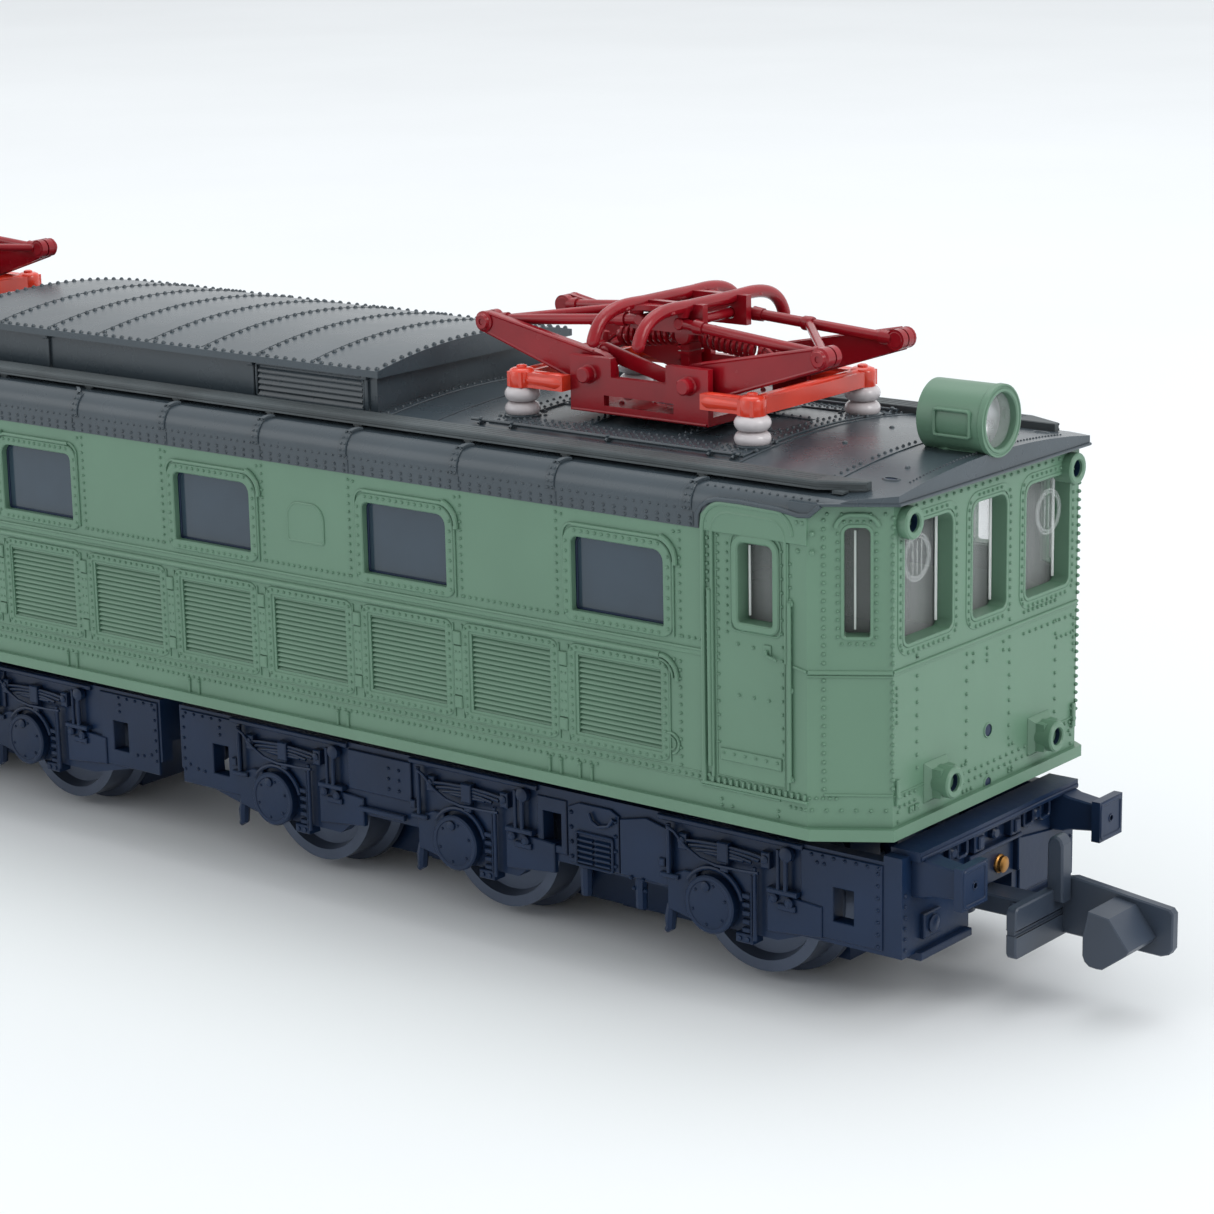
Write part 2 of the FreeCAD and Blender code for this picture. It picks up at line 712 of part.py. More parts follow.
def gear_face(teeth, phase, backlash=0.08):
    """Spur gear outline in XZ about the origin; phase is one tooth's angle from +X to +Z."""
    pitch = dim("gear_module") * teeth / 2
    tip = pitch + 0.9 * dim("gear_module")
    root = pitch - 1.15 * dim("gear_module")
    base = pitch * math.cos(PRESSURE)
    thickness = math.pi * dim("gear_module") / 2 - backlash
    start = max(base, root)
    flank = []
    for step in range(4):
        radius = start + (tip - start) * step / 3
        turn = thickness / (2 * pitch) + involute(PRESSURE)
        turn -= involute(math.acos(min(1.0, base / radius)))
        flank.append((radius, turn))
    profile = [(root, flank[0][1] + 0.02)] + flank
    points = []
    for tooth in range(int(teeth)):
        middle = phase + 2 * math.pi * tooth / teeth
        for radius, turn in profile:
            points.append((radius, middle - turn))
        for radius, turn in reversed(profile):
            points.append((radius, middle + turn))
    corners = [Vector(radius * math.cos(a), 0, radius * math.sin(a)) for radius, a in points]
    return Part.Face(Part.makePolygon(corners + corners[:1]))


def gear_solid(teeth, phase, width, bore, centre):
    """Spur gear about an axis along Y through centre (x, z)."""
    solid = gear_face(teeth, phase).extrude(Vector(0, width, 0))
    hole = Part.makeCylinder(bore, width + 2, Vector(0, -1, 0), Vector(0, 1, 0))
    solid = solid.cut(hole)
    solid.translate(Vector(centre[0], -width / 2, centre[1]))
    return solid


def meshed_phase(first, first_teeth, first_phase, second, second_teeth):
    """The phase that puts the second gear's gap on the first one's tooth line."""
    bearing = math.atan2(second[1] - first[1], second[0] - first[0])
    share = (bearing - first_phase) / (2 * math.pi / first_teeth)
    return bearing + math.pi - (2 * math.pi / second_teeth) * (0.5 - share)


def idler_centres():
    """Centres of the two idlers between the worm wheel and the outer axle."""
    module = dim("gear_module")
    wheel = (dim("bogie_pivot"), worm_wheel_height())
    axle = (dim("outer_axle"), dim("axle_height"))
    reach_outer = module * (dim("idler_teeth_outer") + dim("axle_gear_teeth")) / 2
    reach_between = module * (dim("idler_teeth_outer") + dim("idler_teeth_inner")) / 2
    reach_inner = module * (dim("idler_teeth_inner") + dim("worm_wheel_teeth")) / 2
    lift = math.radians(15)
    outer = (axle[0] - reach_outer * math.cos(lift), axle[1] + reach_outer * math.sin(lift))
    dx = outer[0] - wheel[0]
    dz = outer[1] - wheel[1]
    gap = math.hypot(dx, dz)
    along = (reach_inner ** 2 - reach_between ** 2 + gap ** 2) / (2 * gap)
    off = math.sqrt(reach_inner ** 2 - along ** 2)
    inner = (wheel[0] + (along * dx + off * dz) / gap, wheel[1] + (along * dz - off * dx) / gap)
    return inner, outer


def worm_thread_x():
    """Where the front worm's thread crosses its lowest line, nearest the bogie pivot."""
    pitch = math.pi * dim("gear_module")
    start = dim("bogie_pivot") - 3.0
    return start + pitch * (0.75 + round((dim("bogie_pivot") - start) / pitch - 0.75))


def gear_train():
    """Every gear of the front bogie: name, teeth, centre and phase, all in mesh at rest."""
    wheel = (dim("bogie_pivot"), worm_wheel_height())
    middle = (dim("middle_axle"), dim("axle_height"))
    outer_axle = (dim("outer_axle"), dim("axle_height"))
    inner, outer = idler_centres()
    big = dim("worm_wheel_teeth")
    small = dim("axle_gear_teeth")
    share = (worm_thread_x() - wheel[0]) / (math.pi * dim("gear_module"))
    wheel_phase = math.pi / 2 - (share - 0.5) * 2 * math.pi / big
    middle_phase = meshed_phase(wheel, big, wheel_phase, middle, small)
    inner_phase = meshed_phase(wheel, big, wheel_phase, inner, dim("idler_teeth_inner"))
    outer_phase = meshed_phase(inner, dim("idler_teeth_inner"), inner_phase,
                               outer, dim("idler_teeth_outer"))
    last_phase = meshed_phase(outer, dim("idler_teeth_outer"), outer_phase, outer_axle, small)
    return {
        "worm_wheel": (big, wheel, wheel_phase),
        "middle_axle": (small, middle, middle_phase),
        "idler_inner": (dim("idler_teeth_inner"), inner, inner_phase),
        "idler_outer": (dim("idler_teeth_outer"), outer, outer_phase),
        "outer_axle": (small, outer_axle, last_phase),
    }


PIN_RADIUS = 0.4
GEAR_WIDTH = 1.1
WORM_WHEEL_WIDTH = 0.9


def build_gear(name, end, train):
    teeth, centre, phase = train[name]
    width = WORM_WHEEL_WIDTH if name == "worm_wheel" else GEAR_WIDTH
    solid = gear_solid(teeth, phase, width, PIN_RADIUS + 0.05, centre)
    return keep(at_end(feature("%s_%s_gear" % (name, end), solid), end), name + "_" + end)


def worm_shape():
    """Single-start right-hand worm about +X, bored for the shaft."""
    module = dim("gear_module")
    pitch = math.pi * module
    middle = dim("worm_pitch_radius")
    length = 6.0
    core = middle - 1.15 * module
    tip = middle + 0.9 * module
    slope = math.tan(PRESSURE)
    half = 0.2
    low = core - 0.06
    helix = Part.makeHelix(pitch, length + 2 * pitch, middle)
    section = Part.makePolygon([
        Vector(low, 0, -half - slope * (middle - low)),
        Vector(tip, 0, -half + slope * (tip - middle)),
        Vector(tip, 0, half - slope * (tip - middle)),
        Vector(low, 0, half + slope * (middle - low)),
        Vector(low, 0, -half - slope * (middle - low)),
    ])
    thread = Part.Wire(helix.Edges).makePipeShell([section], True, True)
    thread.translate(Vector(0, 0, -pitch))
    solid = Part.makeCylinder(core, length).fuse(thread)
    solid = solid.common(Part.makeCylinder(tip + 1, length))
    solid = solid.cut(Part.makeCylinder(dim("shaft_radius") + 0.01, length + 2, Vector(0, 0, -1)))
    # local +Z becomes +X and local +X becomes +Y, so the helix stays right-handed
    matrix = FreeCAD.Matrix(0, 0, 1, 0, 1, 0, 0, 0, 0, 1, 0, 0, 0, 0, 0, 1)
    solid.transformShape(matrix)
    solid.translate(Vector(dim("bogie_pivot") - length / 2, 0, shaft_height()))
    return solid


def build_rotor():
    """Shaft with two flywheels and two worms."""
    shaft = str(round(shaft_height(), 4))
    keep(rod("shaft_rod", "shaft_radius", "64", ("-32", "0", shaft), "x"), "motor_shaft")
    wheels = []
    for end, start in (("front", "10"), ("rear", "-15")):
        disc = rod("flywheel_disc_" + end, "flywheel_radius", "5", (start, "0", shaft), "x")
        bore = rod("flywheel_bore_" + end, "shaft_radius + 0.01", "7",
                   (start + " - 1", "0", shaft), "x")
        wheels.append(cut("flywheel_" + end, disc, [bore]))
    keep(group("flywheel_set", wheels), "flywheels")
    front = feature("worm_front_solid", worm_shape())
    rear = at_end(feature("worm_rear_solid", worm_shape()), "rear")
    keep(group("worm_set", [front, rear]), "worms")


# ---------------------------------------------------------------- wheelsets
def wheel_body(name, side):
    """One wheel: coned flange, tread and a dished face, turned about Y."""
    body = new_body(name)
    sketch = sketch_on(body, "YZ_Plane")
    back = "back_to_back / 2"
    section = [(back, "axle_radius + 0.01"),
               (back, "flange_radius - 0.35"),
               (back + " + 0.12", "flange_radius"),
               (back + " + 0.4", "flange_radius - 0.05"),
               (back + " + 0.62", "tread_radius + 0.06"),
               (back + " + wheel_width", "tread_radius"),
               (back + " + wheel_width", "tread_radius - 0.55"),
               (back + " + wheel_width - 0.6", "tread_radius - 0.75"),
               (back + " + wheel_width - 0.6", "1.5"),
               (back + " + wheel_width - 0.1", "1.3"),
               (back + " + wheel_width - 0.1", "axle_radius + 0.01")]
    outline(sketch, [("%d * (%s)" % (side, u), v) for u, v in section])
    revolve(body, sketch, "H_Axis")
    return body


def build_wheelset(axle, end, train):
    """Axle with two wheels, and a gear where the axle is driven."""
    tag = axle + "_" + end
    items = [wheel_body("wheel_%s_left" % tag, 1), wheel_body("wheel_%s_right" % tag, -1)]
    items.append(rod("axle_" + tag, "axle_radius", "12.4", ("0", "-6.2", "0"), "y"))
    key = axle + "_axle"
    if key in train:
        teeth, centre, phase = train[key]
        gear = gear_solid(teeth, phase, GEAR_WIDTH, dim("axle_radius") + 0.01, (0, 0))
        items.append(feature("axle_gear_" + tag, gear))
    placed = group("wheelset_parts_" + tag, items)
    placed.Placement = Placement(Vector(dim(axle + "_axle"), 0, dim("axle_height")), Rotation())
    result = group("wheelset_group_" + tag, [placed])
    return keep(at_end(result, end), "wheelset_%s_%s" % (axle, end))


# ---------------------------------------------------------------- bogies
def build_bogie_frame(end):
    """Two side frames, buffer beam, stretchers and axleboxes."""
    sides = []
    for side in (-1, 1):
        body = new_body("side_frame_%s_%d" % (end, side + 1))
        sketch = sketch_on(body, "XZ_Plane", "%d * (frame_outer - frame_thickness / 2)" % side)
        corners = [("bogie_inner_end", "frame_top"), ("bogie_inner_end", "4.4"),
                   ("3.2", "3.6"), ("6.2", "2.9"), ("12.4", "2.9"), ("14.0", "4.2"),
                   ("18.6", "4.2"), ("20.0", "2.9"), ("24.4", "2.9"), ("26.0", "4.2"),
                   ("34.4", "4.2"), ("36.0", "2.9"), ("40.2", "2.9"), ("41.6", "3.4"),
                   ("bogie_outer_end", "3.4"), ("bogie_outer_end", "frame_top")]
        outline(sketch, corners)
        pad(body, sketch, "frame_thickness", symmetric=True)
        slots = sketch_on(body, "XZ_Plane")
        for place, sill in ((3.85, 4.5), (26.7, 5.0), (43.95, 4.5)):
            rectangle(slots, "%s - 0.6" % place, str(sill), "%s + 0.6" % place, str(sill + 1.7))
        pocket(body, slots, "40", symmetric=True)
        sides.append(body)
    offset = {-1: -1.6, 1: 1.6}
    items = list(sides)
    for side in (-1, 1):
        for axle in ("inner_axle", "middle_axle", "outer_axle"):
            start = "frame_outer - 0.1" if side > 0 else "-frame_outer - 0.5"
            items.append(rod("axlebox_%s_%s_%d" % (end, axle, side + 1), "1.4", "0.6",
                             ("%s + %s" % (axle, offset[side]), start, "4.05"), "y"))
    items.append(block("beam_" + end, ("bogie_outer_end - 0.1", "-frame_outer", "3.4"),
                       ("1.0", "2 * frame_outer", "4.8")))
    items.append(block("beam_deck_" + end, ("bogie_outer_end - 0.1", "-6.9", "8.0"),
                       ("1.6", "13.8", "0.45")))
    items.append(block("inner_stretcher_" + end, ("bogie_inner_end", "-frame_outer", "5.4"),
                       ("1.0", "2 * frame_outer", "2.3")))
    for place in (15.6, 29.4):
        items.append(block("stretcher_%s_%d" % (end, place), (str(place), "-frame_outer", "6.6"),
                           ("1.2", "2 * frame_outer", "1.2")))
    stub = [rod("coupler_stub_" + end, "0.5", "1.7", ("coupler_pivot", "0", "3.4")),
            rod("coupler_stub_head_" + end, "0.85", "0.35", ("coupler_pivot", "0", "3.35"))]
    items.append(block("pocket_roof_" + end, ("coupler_pivot - 1.6", "-2.2", "5.0"),
                       ("2.7", "4.4", "0.6")))
    items.append(block("pocket_tie_" + end, ("42.4", "-1.6", "5.0"), ("2", "3.2", "0.6")))
    tools = [block("coupler_way_" + end, ("coupler_pivot - 1.5", "-1.9", "3.0"),
                   ("4", "3.8", "2.0")),
             block("gear_way_" + end, ("7", "-3.3", "2"), ("34.4", "6.6", "7"))]
    frame = cut("bogie_cut_" + end, fuse("bogie_fuse_" + end, items), tools)
    # the stub stands in the coupler's way, so it is added after the way is cut
    roofed = fuse("bogie_whole_" + end, [frame] + stub)
    return keep(at_end(roofed, end), "bogie_frame_" + end)


def build_gearbox(end, train):
    """Central gear housing with a slot for the gears, axle bearings and gear pins."""
    pivot = "bogie_pivot"
    lower = block("box_" + end, ("7", "-3.3", "1.35"), ("34.4", "6.6", "6.65"))
    tower = block("tower_" + end, (pivot + " - 4.6", "-2.2", "7"), ("9.2", "4.4", "4.6"))
    # the round turret turns in the chassis floor and carries its weight
    turret = rod("turret_" + end, "turret_radius", "1.2", (pivot, "0", "8.75"))
    slot = block("slot_" + end, ("8", "-0.75", "1"), ("33.4", "1.5", "13"))
    ways = [slot]
    for axle in ("inner_axle", "middle_axle", "outer_axle"):
        ways.append(rod("bearing_%s_%s" % (end, axle), "axle_radius + 0.04", "8",
                        (axle, "-4", "axle_height"), "y"))
        ways.append(block("drop_%s_%s" % (end, axle),
                          (axle + " - axle_radius - 0.04", "-4", "1"),
                          ("2 * axle_radius + 0.08", "8", "axle_height - 1")))
    hollow = cut("gearbox_cut_" + end, fuse("gearbox_fuse_" + end, [lower, tower, turret]), ways)
    pins = []
    for name in ("worm_wheel", "idler_inner", "idler_outer"):
        teeth, centre, phase = train[name]
        reach = 2.2 if name == "worm_wheel" else 3.3
        pins.append(rod("pin_%s_%s" % (name, end), str(PIN_RADIUS), str(2 * reach),
                        (str(round(centre[0], 4)), str(-reach), str(round(centre[1], 4))), "y"))
    return keep(at_end(fuse("gearbox_whole_" + end, [hollow] + pins), end), "gearbox_" + end)


def build_keeper(end):
    """Cover plate that closes the gearbox from below and holds the axles in."""
    plate = block("keeper_sheet_" + end, ("7", "-3.3", "0.9"), ("34.4", "6.6", "0.45"))
    ribs = []
    for place in (14.6, 27.4, 33.2):
        for y in ("-3.0", "1.2"):
            ribs.append(block("keeper_rib_%s_%d_%s" % (end, place, "a" if y[0] == "-" else "b"),
                              (str(place), y, "0.7"), ("1.4", "1.8", "0.25")))
    return keep(at_end(fuse("keeper_fuse_" + end, [plate] + ribs), end), "keeper_plate_" + end)


def build_buffers(end):
    """Two rectangular-headed buffers on flat bars."""
    pieces = []
    for side in (-1, 1):
        tag = "%s_%d" % (end, side + 1)
        y = "%d * buffer_offset" % side
        beam = "bogie_outer_end + 0.9"
        shank = block("shank_" + tag, (beam, y + " - 0.5", "buffer_height - 0.6"),
                      ("buffer_face - 0.4 - (%s)" % beam, "1.0", "1.2"))
        collar = block("collar_" + tag, (beam, y + " - 0.6", "buffer_height - 0.8"),
                       ("0.8", "1.2", "1.6"))
        head = block("head_" + tag, ("buffer_face - 0.45", y + " - buffer_width / 2",
                                     "buffer_height - 1"), ("0.45", "buffer_width", "2"))
        hole = rod("head_hole_" + tag, "0.22", "1", ("buffer_face - 0.4", y, "buffer_height"), "x")
        pieces.append(cut("buffer_" + tag, fuse("buffer_raw_" + tag, [shank, collar, head]),
                          [hole]))
    return keep(at_end(group("buffer_set_" + end, pieces), end), "buffers_" + end)


def build_coupler(end):
    """Hook coupler: pivoted tail, shank, cross plate, side arm, hook and lift post."""
    pivot = "coupler_pivot"
    low = 3.85
    items = [
        rod("tail_" + end, "1.05", "0.9", (pivot, "0", str(low))),
        block("shank_bar_" + end, (pivot, "-0.8", str(low)), ("4.8", "1.6", "0.9")),
        block("cross_plate_" + end, ("49.8", "-3.0", "2.7"), ("0.55", "4.75", "2.5")),
        block("side_arm_" + end, ("50.2", "1.2", "2.9"), ("5.95", "0.55", "2.5")),
        block("lift_post_" + end, ("49.9", "0.35", "4.6"), ("0.9", "0.85", "3.2")),
    ]
    hook = new_body("hook_" + end)
    sketch = sketch_on(hook, "XZ_Plane", "-1.25")
    outline(sketch, [("53.1", "5.2"), ("54.2", "5.05"), ("55.3", "3.67"), ("55.1", "3.4"),
                     ("53.9", "2.5"), ("53.25", "2.5"), ("52.85", "2.95"), ("52.85", "4.0")])
    pad(hook, sketch, "2.6")
    items.append(hook)
    bore = rod("pivot_bore_" + end, "0.56", "3", (pivot, "0", "3"))
    whole = cut("coupler_cut_" + end, fuse("coupler_fuse_" + end, items), [bore])
    return keep(at_end(whole, end), "coupler_" + end)


# ---------------------------------------------------------------- pantographs
def deck_height(y):
    """Height of the arched deck at a distance from the middle."""
    half = dim("shoulder_half_width")
    radius = arch_radius(half, dim("deck_crown") - dim("shoulder_height"))
    return dim("deck_crown") - radius + math.sqrt(radius ** 2 - y ** 2)


def build_insulators():
    """Eight ribbed insulators that stand on the roof deck."""
    foot = deck_height(dim("insulator_offset") - 0.7) + 0.01
    height = dim("insulator_top") - foot
    items = []
    for end in (1, -1):
        for along in (-1, 1):
            for side in (-1, 1):
                tag = "%d%d%d" % (end + 1, along + 1, side + 1)
                body = new_body("insulator_" + tag)
                sketch = sketch_on(body, "XZ_Plane")
                # foot, rib, waist, rib and cap, as shares of the height
                stations = [(0.0, 0.0), (0.0, 0.6), (0.14, 0.62), (0.22, 0.93), (0.38, 0.95),
                            (0.48, 0.62), (0.58, 0.92), (0.76, 0.92), (0.86, 0.6), (1.0, 0.55),
                            (1.0, 0.0)]
                outline(sketch, [(str(radius), str(round(height * share, 4)))
                                 for share, radius in stations])
                revolve(body, sketch, "V_Axis")
                x = end * (dim("pantograph_centre") + along * dim("insulator_spread"))
                y = side * dim("insulator_offset")
                body.Placement = Placement(Vector(x, y, foot), Rotation())
                items.append(body)
    return keep(group("insulator_set", items), "pantograph_insulators")


def build_pantograph_frame(end):
    """Bars between the insulators, with stubs that carry the pantograph's base."""
    centre = "pantograph_centre"
    items = []
    for sign in (-1, 1):
        tag = "%s_%d" % (end, sign + 1)
        items.append(block("cross_bar_" + tag,
                           ("%s + %d * insulator_spread - 0.45" % (centre, sign),
                            "-insulator_offset - 0.6", "insulator_top"),
                           ("0.9", "2 * insulator_offset + 1.2", "0.75")))
        for side in (-1, 1):
            low = "base_half_length" if sign > 0 else "-insulator_spread"
            items.append(block("stub_%s_%d" % (tag, side + 1),
                               ("%s + %s" % (centre, low),
                                "%d * insulator_offset - 0.35" % side, "insulator_top"),
                               ("insulator_spread - base_half_length", "0.7", "0.75")))
    return keep(at_end(fuse("panto_frame_fuse_" + end, items), end), "pantograph_frame_" + end)


def build_pantograph_base(end):
    """Floor and two side plates, with stub pins for the lower arms."""
    centre = "pantograph_centre"
    low = "26.05"
    items = [block("base_floor_" + end, (centre + " - base_half_length", "-4.0", low),
                   ("2 * base_half_length", "8.0", "0.4"))]
    for side in (-1, 1):
        tag = "%s_%d" % (end, side + 1)
        body = new_body("base_plate_" + tag)
        sketch = sketch_on(body, "XZ_Plane", "%d * 4.0" % side)
        half = "base_half_length"
        corners = [("-" + half, low), (half, low), (half, "28.75"), ("1.65", "28.75"),
                   ("1.65", "27.85"), ("-1.65", "27.85"), ("-1.65", "28.75"), ("-" + half, "28.75")]
        outline(sketch, [("%s + %s" % (centre, u), v) for u, v in corners])
        pad(body, sketch, "0.4", symmetric=True)
        holes = sketch_on(body, "XZ_Plane")
        rectangle(holes, centre + " - 2.1", "26.45", centre + " + 2.1", "26.95")
        pocket(body, holes, "20", symmetric=True)
        items.append(body)
        for sign in (-1, 1):
            start = "2.75" if side > 0 else "-4.6"
            items.append(rod("arm_pin_%s_%d" % (tag, sign + 1), "0.35", "1.85",
                             ("%s + %d * arm_pivot_offset" % (centre, sign), start,
                              "arm_pivot_height"), "y"))
    items.append(block("spring_post_" + end, (centre + " - 0.25", "-0.5", low),
                       ("0.5", "1", "4.0")))
    return keep(at_end(fuse("panto_base_fuse_" + end, items), end), "pantograph_base_" + end)


def strut(start, finish, radius):
    """A round bar between two points."""
    way = finish - start
    return Part.makeCylinder(radius, way.Length, start, way)


def tapered_plate(first, first_radius, second, second_radius, low, high):
    """Plate in XZ with two round ends of different radius, from y=low to y=high."""
    dx = second.x - first.x
    dz = second.z - first.z
    span = math.hypot(dx, dz)
    bearing = math.atan2(dz, dx)
    spread = math.acos((first_radius - second_radius) / span)
    corners = []
    for centre, radius, turn in ((first, first_radius, spread), (second, second_radius, spread),
                                 (second, second_radius, -spread), (first, first_radius, -spread)):
        corners.append(Vector(centre.x + radius * math.cos(bearing + turn), low,
                              centre.z + radius * math.sin(bearing + turn)))
    far = Vector(second.x + second_radius * math.cos(bearing), low,
                 second.z + second_radius * math.sin(bearing))
    near = Vector(first.x - first_radius * math.cos(bearing), low,
                  first.z - first_radius * math.sin(bearing))
    edges = [
        Part.LineSegment(corners[0], corners[1]),
        Part.Arc(corners[1], far, corners[2]),
        Part.LineSegment(corners[2], corners[3]),
        Part.Arc(corners[3], near, corners[0]),
    ]
    face = Part.Face(Part.Wire([edge.toShape() for edge in edges]))
    return face.extrude(Vector(0, high - low, 0))


def across(radius, x, z, low, high):
    """A cylinder along Y."""
    return Part.makeCylinder(radius, high - low, Vector(x, low, z), Vector(0, 1, 0))


def pantograph_point(side, offset, height, y=0.0):
    """A point of the linkage; side is +1 towards the cab, -1 towards the middle."""
    return Vector(dim("pantograph_centre") + side * dim(offset), y, dim(height))


def lower_arm_shape(side):
    """Two tapered plates with a cross tube, from base pivot to knee."""
    pivot = pantograph_point(side, "arm_pivot_offset", "arm_pivot_height")
    knee = pantograph_point(side, "knee_offset", "knee_height")
    plates = []
    for low, high in ((-3.55, -3.05), (3.05, 3.55)):
        plate = tapered_plate(pivot, 0.95, knee, 0.5, low, high)
        plate = plate.cut(across(0.40, pivot.x, pivot.z, low - 1, high + 1))
        plate = plate.cut(across(0.30, knee.x, knee.z, low - 1, high + 1))
        plates.append(plate)
    middle = pivot + (knee - pivot) * 0.33
    shape = plates[0].fuse(plates[1]).fuse(across(0.3, middle.x, middle.z, -3.2, 3.2))
    return shape


def upper_arm_shape(side):
    """Two thin rods from the knees to the head, a cross bar and a diagonal brace."""
    knee = pantograph_point(side, "knee_offset", "knee_height")
    top = pantograph_point(side, "head_pivot_offset", "head_pivot_height")
    shape = across(0.25, top.x, top.z, -2.5, 2.5)
    for sign in (-1, 1):
        foot = Vector(knee.x, sign * 2.8, knee.z)
        shape = shape.fuse(strut(foot, Vector(top.x, sign * 2.3, top.z), 0.26))
        low, high = sorted((sign * 2.55, sign * 3.75))
        shape = shape.fuse(across(0.25, knee.x, knee.z, low, high))
        low, high = sorted((sign * 2.55, sign * 2.95))
        shape = shape.fuse(across(0.5, knee.x, knee.z, low, high))
    start = Vector(knee.x - side * 0.4, -2.7, knee.z + 0.03)
    finish = knee + (top - knee) * 0.55
    finish.y = 2.5
    return shape.fuse(strut(start, finish, 0.22))


def strip_shape(x):
    """One collector strip along Y with its ends drooping."""
    half = dim("strip_half_length")
    radius = dim("strip_radius")
    flat = dim("strip_flat")
    level = dim("strip_top") - radius
    tip = half - 0.15
    points = [Vector(x, -tip, level - 1.35), Vector(x, -flat - 1.3, level - 0.35), Vector(x, -flat, level)]
    points += [Vector(x, -flat / 2, level), Vector(x, 0, level), Vector(x, flat / 2, level)]
    points += [Vector(x, flat, level), Vector(x, flat + 1.3, level - 0.35), Vector(x, tip, level - 1.35)]
    line = Part.BSplineCurve()
    line.interpolate(points)
    edge = line.toShape()
    circle = Part.Wire(Part.makeCircle(radius, points[0], edge.tangentAt(edge.FirstParameter)))
    shape = Part.Wire(edge).makePipeShell([circle], True, False)
    for point in (points[0], points[-1]):
        shape = shape.fuse(Part.makeSphere(radius, point))
    return shape


def head_shape():
    """Collector head: two strips, two end bars and lugs for the arms' cross bars."""
    centre = dim("pantograph_centre")
    top = dim("head_pivot_height")
    offset = dim("head_pivot_offset")
    shape = None
    for x in (centre - dim("strip_offset"), centre + dim("strip_offset")):
        piece = strip_shape(x)
        shape = piece if shape is None else shape.fuse(piece)
    for low, high in ((-1.95, -1.55), (1.55, 1.95)):
        plate = Part.makeBox(2 * offset + 2.0, high - low, dim("strip_top") - top + 0.35,
                             Vector(centre - offset - 1.0, low, top - 0.55))
        plate = plate.cut(across(0.30, centre + offset, top, low - 1, high + 1))
        slot = Part.makeBox(0.9, 2, 0.6, Vector(centre - offset - 0.45, low - 0.5, top - 0.3))
        plate = plate.cut(slot)
        for x in (centre - offset - 0.45, centre - offset + 0.45):
            plate = plate.cut(across(0.30, x, top, low - 1, high + 1))
        shape = shape.fuse(plate)
    return shape


def spring_shape(side):
    """Tension spring along X between the middle post and the lower arm's cross tube."""
    coil = 0.5
    wire = 0.1
    pitch = 0.42
    length = 4.2
    helix = Part.makeHelix(pitch, length, coil)
    circle = Part.Wire(Part.makeCircle(wire, Vector(coil, 0, 0), Vector(0, 1, 0)))
    solid = Part.Wire(helix.Edges).makePipeShell([circle], True, True)
    matrix = FreeCAD.Matrix(0, 0, 1, 0, 1, 0, 0, 0, 0, 1, 0, 0, 0, 0, 0, 1)
    solid.transformShape(matrix)
    start = dim("pantograph_centre") + (0.4 if side > 0 else -0.4 - length)
    solid.translate(Vector(start, 0, 29.25))
    return solid


def build_pantograph(end):
    for side, word in ((1, "outer"), (-1, "inner")):
        lower = feature("lower_%s_%s" % (word, end), lower_arm_shape(side))
        keep(at_end(lower, end), "lower_arm_%s_%s" % (word, end))
        upper = feature("upper_%s_%s" % (word, end), upper_arm_shape(side))
        keep(at_end(upper, end), "upper_arm_%s_%s" % (word, end))
    keep(at_end(feature("head_" + end, head_shape()), end), "collector_head_" + end)
    springs = [feature("spring_%s_%d" % (end, side + 1), spring_shape(side)) for side in (-1, 1)]
    keep(at_end(group("spring_set_" + end, springs), end), "pantograph_springs_" + end)


# ---------------------------------------------------------------- assembly
build_body_shell()
build_roof()
build_clerestory()
build_walkway("left")
build_walkway("right")
build_side_glazing()
build_lamp_lenses()
build_handrails()
build_chassis()
build_motor()
build_circuit_board()
build_screws()
build_light_guides()
build_rotor()
build_insulators()
train = gear_train()
for end in ("front", "rear"):
    build_cab_glazing(end)
    build_headlight(end)
    build_bogie_frame(end)
    build_gearbox(end, train)
    build_keeper(end)
    build_buffers(end)
    build_coupler(end)
    for gear in ("worm_wheel", "idler_inner", "idler_outer"):
        build_gear(gear, end, train)
    for axle in ("inner", "middle", "outer"):
        build_wheelset(axle, end, train)
    build_pantograph_frame(end)
    build_pantograph_base(end)
    build_pantograph(end)
doc.recompute()

# ---------------------------------------------------------------- tests and export
faults = []
for item in doc.Objects:
    if "Invalid" in item.State or "Error" in item.State:
        faults.append("%s %s" % (item.Name, item.State))
for item in nodes:
    if item.Shape.isNull() or not item.Shape.isValid():
        faults.append("%s has no valid shape" % item.Label)
if faults:
    raise RuntimeError("; ".join(faults))

os.makedirs("parts", exist_ok=True)
for item in nodes:
    item.Shape.exportStep(os.path.join("parts", item.Label + ".step"))
    box = item.Shape.BoundBox
    print("%-28s %8.2f mm3  x %7.2f %7.2f  y %7.2f %7.2f  z %6.2f %6.2f  solids %d" % (
        item.Label, item.Shape.Volume, box.XMin, box.XMax, box.YMin, box.YMax,
        box.ZMin, box.ZMax, len(item.Shape.Solids)))
print("%d sub-parts" % len(nodes))
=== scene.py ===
import json
import math

import bmesh
import bpy
from mathutils import Matrix, Vector


